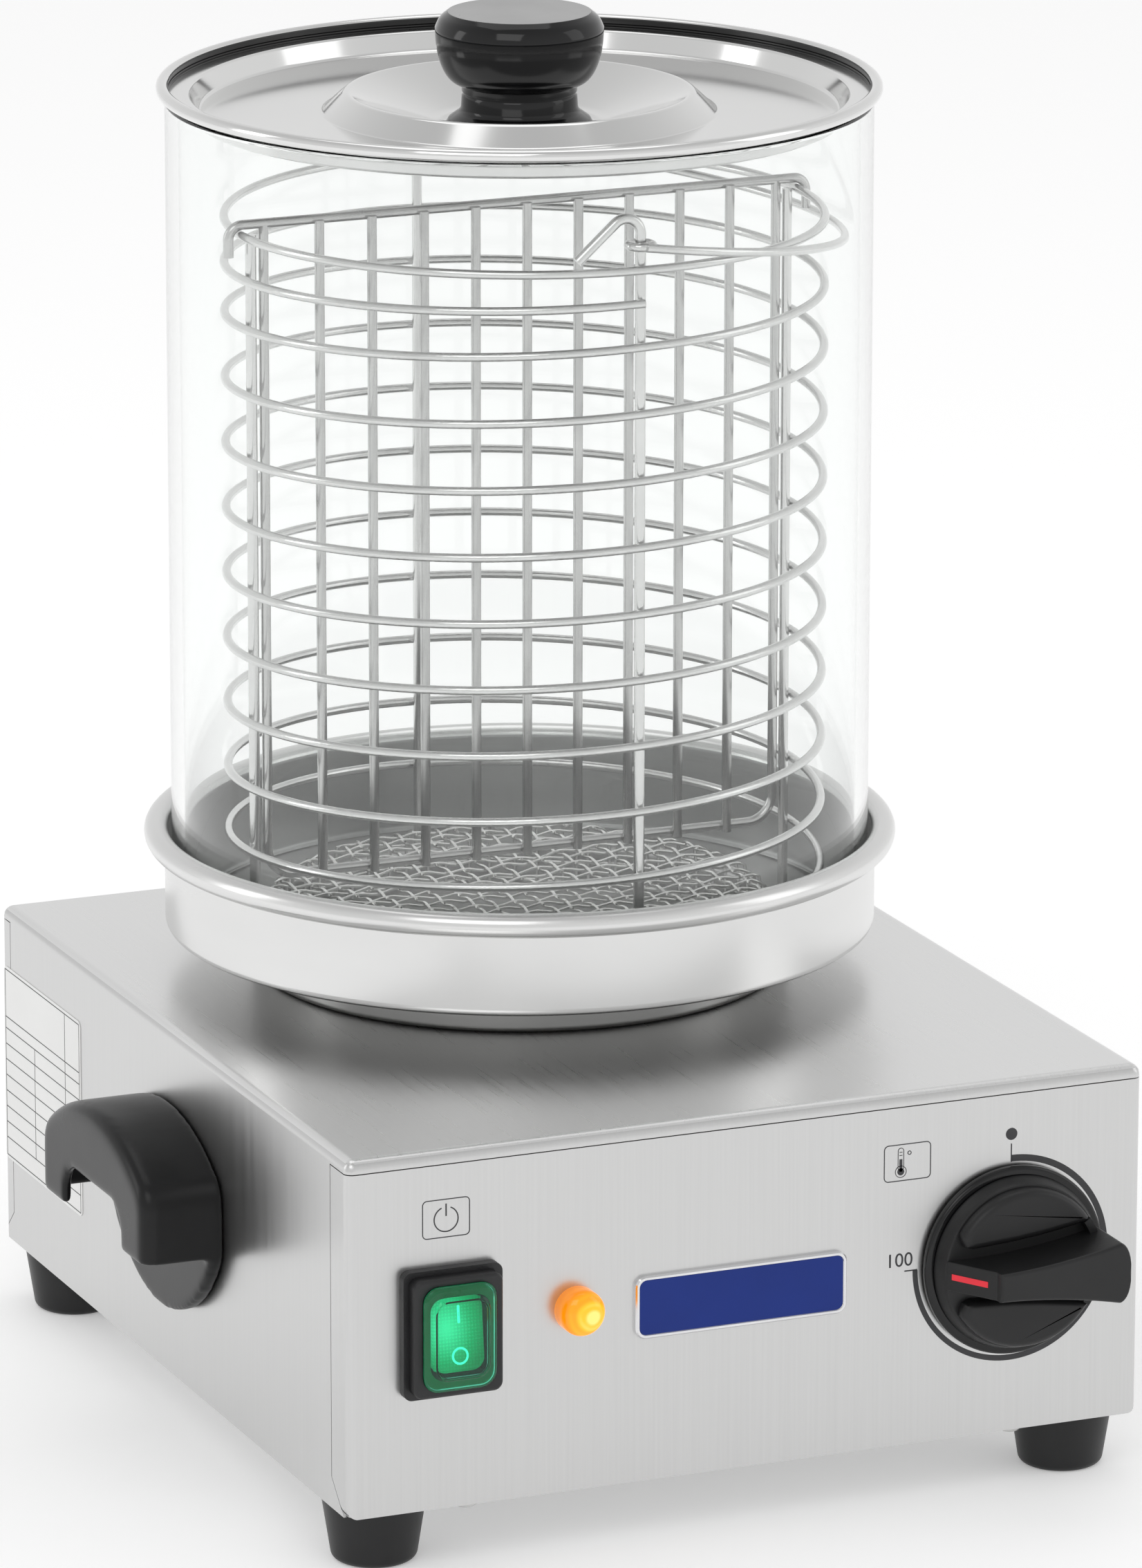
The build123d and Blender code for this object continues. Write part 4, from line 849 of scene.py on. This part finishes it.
# ---- printed marks on the front panel ----
def printed(name, loops):
    """Printed shape: each entry is (outer loop, inner loop or None) in panel coordinates."""
    bm = bmesh.new()
    for outer, inner in loops:
        levels = [(outer, 0.0), (outer, PRINT)]
        if inner:
            levels += [(inner, PRINT), (inner, 0.0)]
        stack(bm, [on_front(loop, (0, 0), depth) for loop, depth in levels], ring=bool(inner))
    settle(mesh_object(name, bm, ink, 30), "base", "black_satin")


def shifted(loop, centre):
    return [(centre[0] + p[0], centre[1] + p[1]) for p in loop]


def stroke(points, width):
    """A flat line of constant width along 2-D points, as one closed loop."""
    left, right = [], []
    for i, point in enumerate(points):
        before = Vector(points[max(i - 1, 0)])
        after = Vector(points[min(i + 1, len(points) - 1)])
        along = (after - before).normalized()
        side = Vector((-along.y, along.x)) * (width / 2)
        left.append(tuple(Vector(point) + side))
        right.append(tuple(Vector(point) - side))
    return left + right[::-1]


def tapered_arc(centre, outer, start, end, width_start, width_end, count=90):
    """A flat line along an arc, in degrees, whose width changes steadily inwards from its outer edge."""
    turns = [radians(start + (end - start) * k / count) for k in range(count + 1)]
    out = [(centre[0] + outer * cos(t), centre[1] + outer * sin(t)) for t in turns]
    back = []
    for k, t in enumerate(turns):
        inner = outer - (width_start + (width_end - width_start) * k / count)
        back.append((centre[0] + inner * cos(t), centre[1] + inner * sin(t)))
    return out + back[::-1]


def framed(width, height, centre, radius=1.4, line=0.28):
    """Outer and inner loop of a sign's frame."""
    outer = loop_rect(width, height, radius)
    inner = loop_rect(width - 2 * line, height - 2 * line, radius - line)
    return shifted(outer, centre), shifted(inner, centre)


THERMO = (47.3, 100.2)
POWER = (-90.1, 100.9)
BULB = (THERMO[0] - 2.0, THERMO[1] - 2.6)
tube_at = (BULB[0], BULB[1] + 3.6)
degree_at = (THERMO[0] + 0.6, THERMO[1] + 2.6)
printed("thermometer_icon", [
    framed(14.3, 10.7, THERMO),
    (shifted(loop_rect(1.9, 6.6, 0.94), tube_at), shifted(loop_rect(1.5, 6.2, 0.74), tube_at)),
    (circle(1.75, 32, BULB), circle(1.55, 32, BULB)),
    (circle(1.05, 28, BULB), None),
    (stroke([BULB, tube_at], 0.9), None),
    (stroke([(BULB[0] - 0.45, BULB[1] + 4.7), (BULB[0] + 0.45, BULB[1] + 4.7)], 0.2), None),
    (stroke([(BULB[0] - 0.45, BULB[1] + 5.6), (BULB[0] + 0.45, BULB[1] + 5.6)], 0.2), None),
    (circle(0.62, 24, degree_at), circle(0.38, 24, degree_at)),
])
printed("power_icon", [
    framed(14.0, 11.0, POWER),
    (stroke(arc((POWER[0], POWER[1] - 0.3), 3.5, 112, 428), 0.36), None),
    (stroke([(POWER[0], POWER[1] + 0.6), (POWER[0], POWER[1] + 4.1)], 0.42), None),
])
printed("dial_scale", [
    (tapered_arc(KNOB, 29.9, 90, -180, 1.9, 1.5), None),
    (circle(1.75, 36, (KNOB[0] - 0.1, 104.5)), None),
    (stroke([(KNOB[0] - 0.1, 101.7), (KNOB[0] - 0.1, 96.4)], 0.34), None),
    (stroke([(46.7, KNOB[1] + 0.1), (50.6, KNOB[1] + 0.1)], 0.36), None),
])
NUMBER_AT = (40.9, 70.1)
text = bpy.data.curves.new("dial_number", "FONT")
text.body = "100"
text.size = 5.6 * MM
text.extrude = PRINT / 2 * MM
text_source = bpy.data.objects.new("dial_number_source", text)
bpy.context.scene.collection.objects.link(text_source)
bpy.context.view_layer.update()
text_mesh = bpy.data.meshes.new_from_object(text_source)
bpy.data.objects.remove(text_source)
text_at = (NUMBER_AT[0] * MM, (FRONT_Y - PRINT / 2) * MM, NUMBER_AT[1] * MM)
text_mesh.transform(Matrix.Translation(text_at) @ Matrix.Rotation(pi / 2, 4, "X"))
text_mesh.materials.clear()
text_mesh.materials.append(ink)
dial_number = bpy.data.objects.new("dial_number", text_mesh)
bpy.context.scene.collection.objects.link(dial_number)
settle(dial_number, "base", "black_satin")

# ---- blank ruled table on the side label ----
TABLE_Y = (72.0, 134.9)
TABLE_Z = (44.0, 101.0)
ROWS_Z = (86.5, 83.0, 78.2, 73.4, 68.6, 63.8, 59.0, 54.2, 49.4)
SPLIT_Y = (84.0, 110.0)          # a split down the whole table, and one between its second row and its last
LABEL_FACE = 0.2                 # of the label, ahead of the casing's side
RULE = 0.28

ends = [((TABLE_Y[0], z), (TABLE_Y[1], z)) for z in (TABLE_Z[1], *ROWS_Z, TABLE_Z[0])]
ends += [((y, TABLE_Z[0]), (y, TABLE_Z[1])) for y in (*TABLE_Y, SPLIT_Y[0])]
ends.append(((SPLIT_Y[1], ROWS_Z[-1]), (SPLIT_Y[1], ROWS_Z[1])))
label_bm = bmesh.new()
for start, end in ends:
    rule = stroke([start, end], RULE)
    stack(label_bm, [[(-SIDE_X - LABEL_FACE - lift, y, z) for y, z in rule] for lift in (0.0, 0.04)])
label_rules = mesh_object("label_rules", label_bm, ink, 30)
settle(label_rules, "base", "black_satin")

# ---- floor, light and camera: a pale studio, brighter at the horizon than overhead ----
floor_bm = bmesh.new()
corners = [floor_bm.verts.new((x, y, 0)) for x, y in ((-9, -9), (9, -9), (9, 12), (-9, 12))]
floor_bm.faces.new(corners)
floor_white, tree, shader = principled("floor_white", (0.90, 0.90, 0.90), 0.0, 0.7)
shader.inputs["Emission Color"].default_value = (1, 1, 1, 1)
shader.inputs["Emission Strength"].default_value = 0.27
shader.inputs["Specular IOR Level"].default_value = 0.1
floor = mesh_object("studio_floor", floor_bm, floor_white, 30)

world = bpy.data.worlds.new("studio")
bpy.context.scene.world = world
world.use_nodes = True
tree = world.node_tree
background = tree.nodes["Background"]
coords = tree.nodes.new("ShaderNodeTexCoord")
split = tree.nodes.new("ShaderNodeSeparateXYZ")
tree.links.new(coords.outputs["Generated"], split.inputs["Vector"])
height = ramp(
    tree, spread(tree, split.outputs["Z"], 0.0, 1.0, -0.1, 1.0),
    (0.0, (1.0, 1.0, 1.0)), (0.45, (0.92, 0.92, 0.92)), (1.0, (0.64, 0.64, 0.64))
)
across = spread(tree, split.outputs["X"], 0.86, 0.93, -1.0, 1.0)
product = tree.nodes.new("ShaderNodeVectorMath")
product.operation = "SCALE"
tree.links.new(height, product.inputs[0])
tree.links.new(across, product.inputs["Scale"])
tree.links.new(product.outputs["Vector"], background.inputs["Color"])
background.inputs["Strength"].default_value = 0.98


def softbox(name, place_at, aim, size, power):
    """A rectangular light at a point, turned to another, both in metres."""
    data = bpy.data.lights.new(name, "AREA")
    data.shape = "RECTANGLE"
    data.size, data.size_y = size
    data.energy = power
    lamp = bpy.data.objects.new(name, data)
    lamp.location = place_at
    lamp.rotation_euler = (Vector(aim) - Vector(place_at)).to_track_quat("-Z", "Y").to_euler()
    bpy.context.scene.collection.objects.link(lamp)


softbox("key", (-1.2, -1.5, 1.9), (0, 0, 0.2), (1.4, 1.2), 7)
softbox("fill_right", (1.9, -0.9, 1.1), (0, 0, 0.2), (0.9, 1.6), 3.0)
softbox("top", (0.1, 0.5, 2.3), (0, 0, 0.1), (1.6, 1.2), 5)
softbox("rim_left", (-1.9, 0.9, 0.8), (0, 0, 0.2), (0.5, 1.2), 3)

AZIMUTH = radians(22.868)
PITCH = radians(15.218)
ROLL = radians(0.063)
EYE = (-1.043157, -2.484064, 0.911515)
FRAME_ASPECT = 1652 / 2268
camera_data = bpy.data.cameras.new("camera")
camera_data.sensor_fit = "VERTICAL"
camera_data.sensor_height = 36.0
camera_data.sensor_width = 36.0 * FRAME_ASPECT
camera_data.lens = 225.4
camera_data.clip_end = 60
camera = bpy.data.objects.new("camera", camera_data)
forward = Vector((sin(AZIMUTH) * cos(PITCH), cos(AZIMUTH) * cos(PITCH), -sin(PITCH)))
level = Vector((cos(AZIMUTH), -sin(AZIMUTH), 0))
upward = level.cross(forward)
right = level * cos(ROLL) + upward * sin(ROLL)
up = right.cross(forward)
camera.matrix_world = Matrix((
    (right.x, up.x, -forward.x, EYE[0]),
    (right.y, up.y, -forward.y, EYE[1]),
    (right.z, up.z, -forward.z, EYE[2]),
    (0, 0, 0, 1),
))
bpy.context.scene.collection.objects.link(camera)
bpy.context.scene.camera = camera
bpy.context.scene.view_settings.view_transform = "Standard"
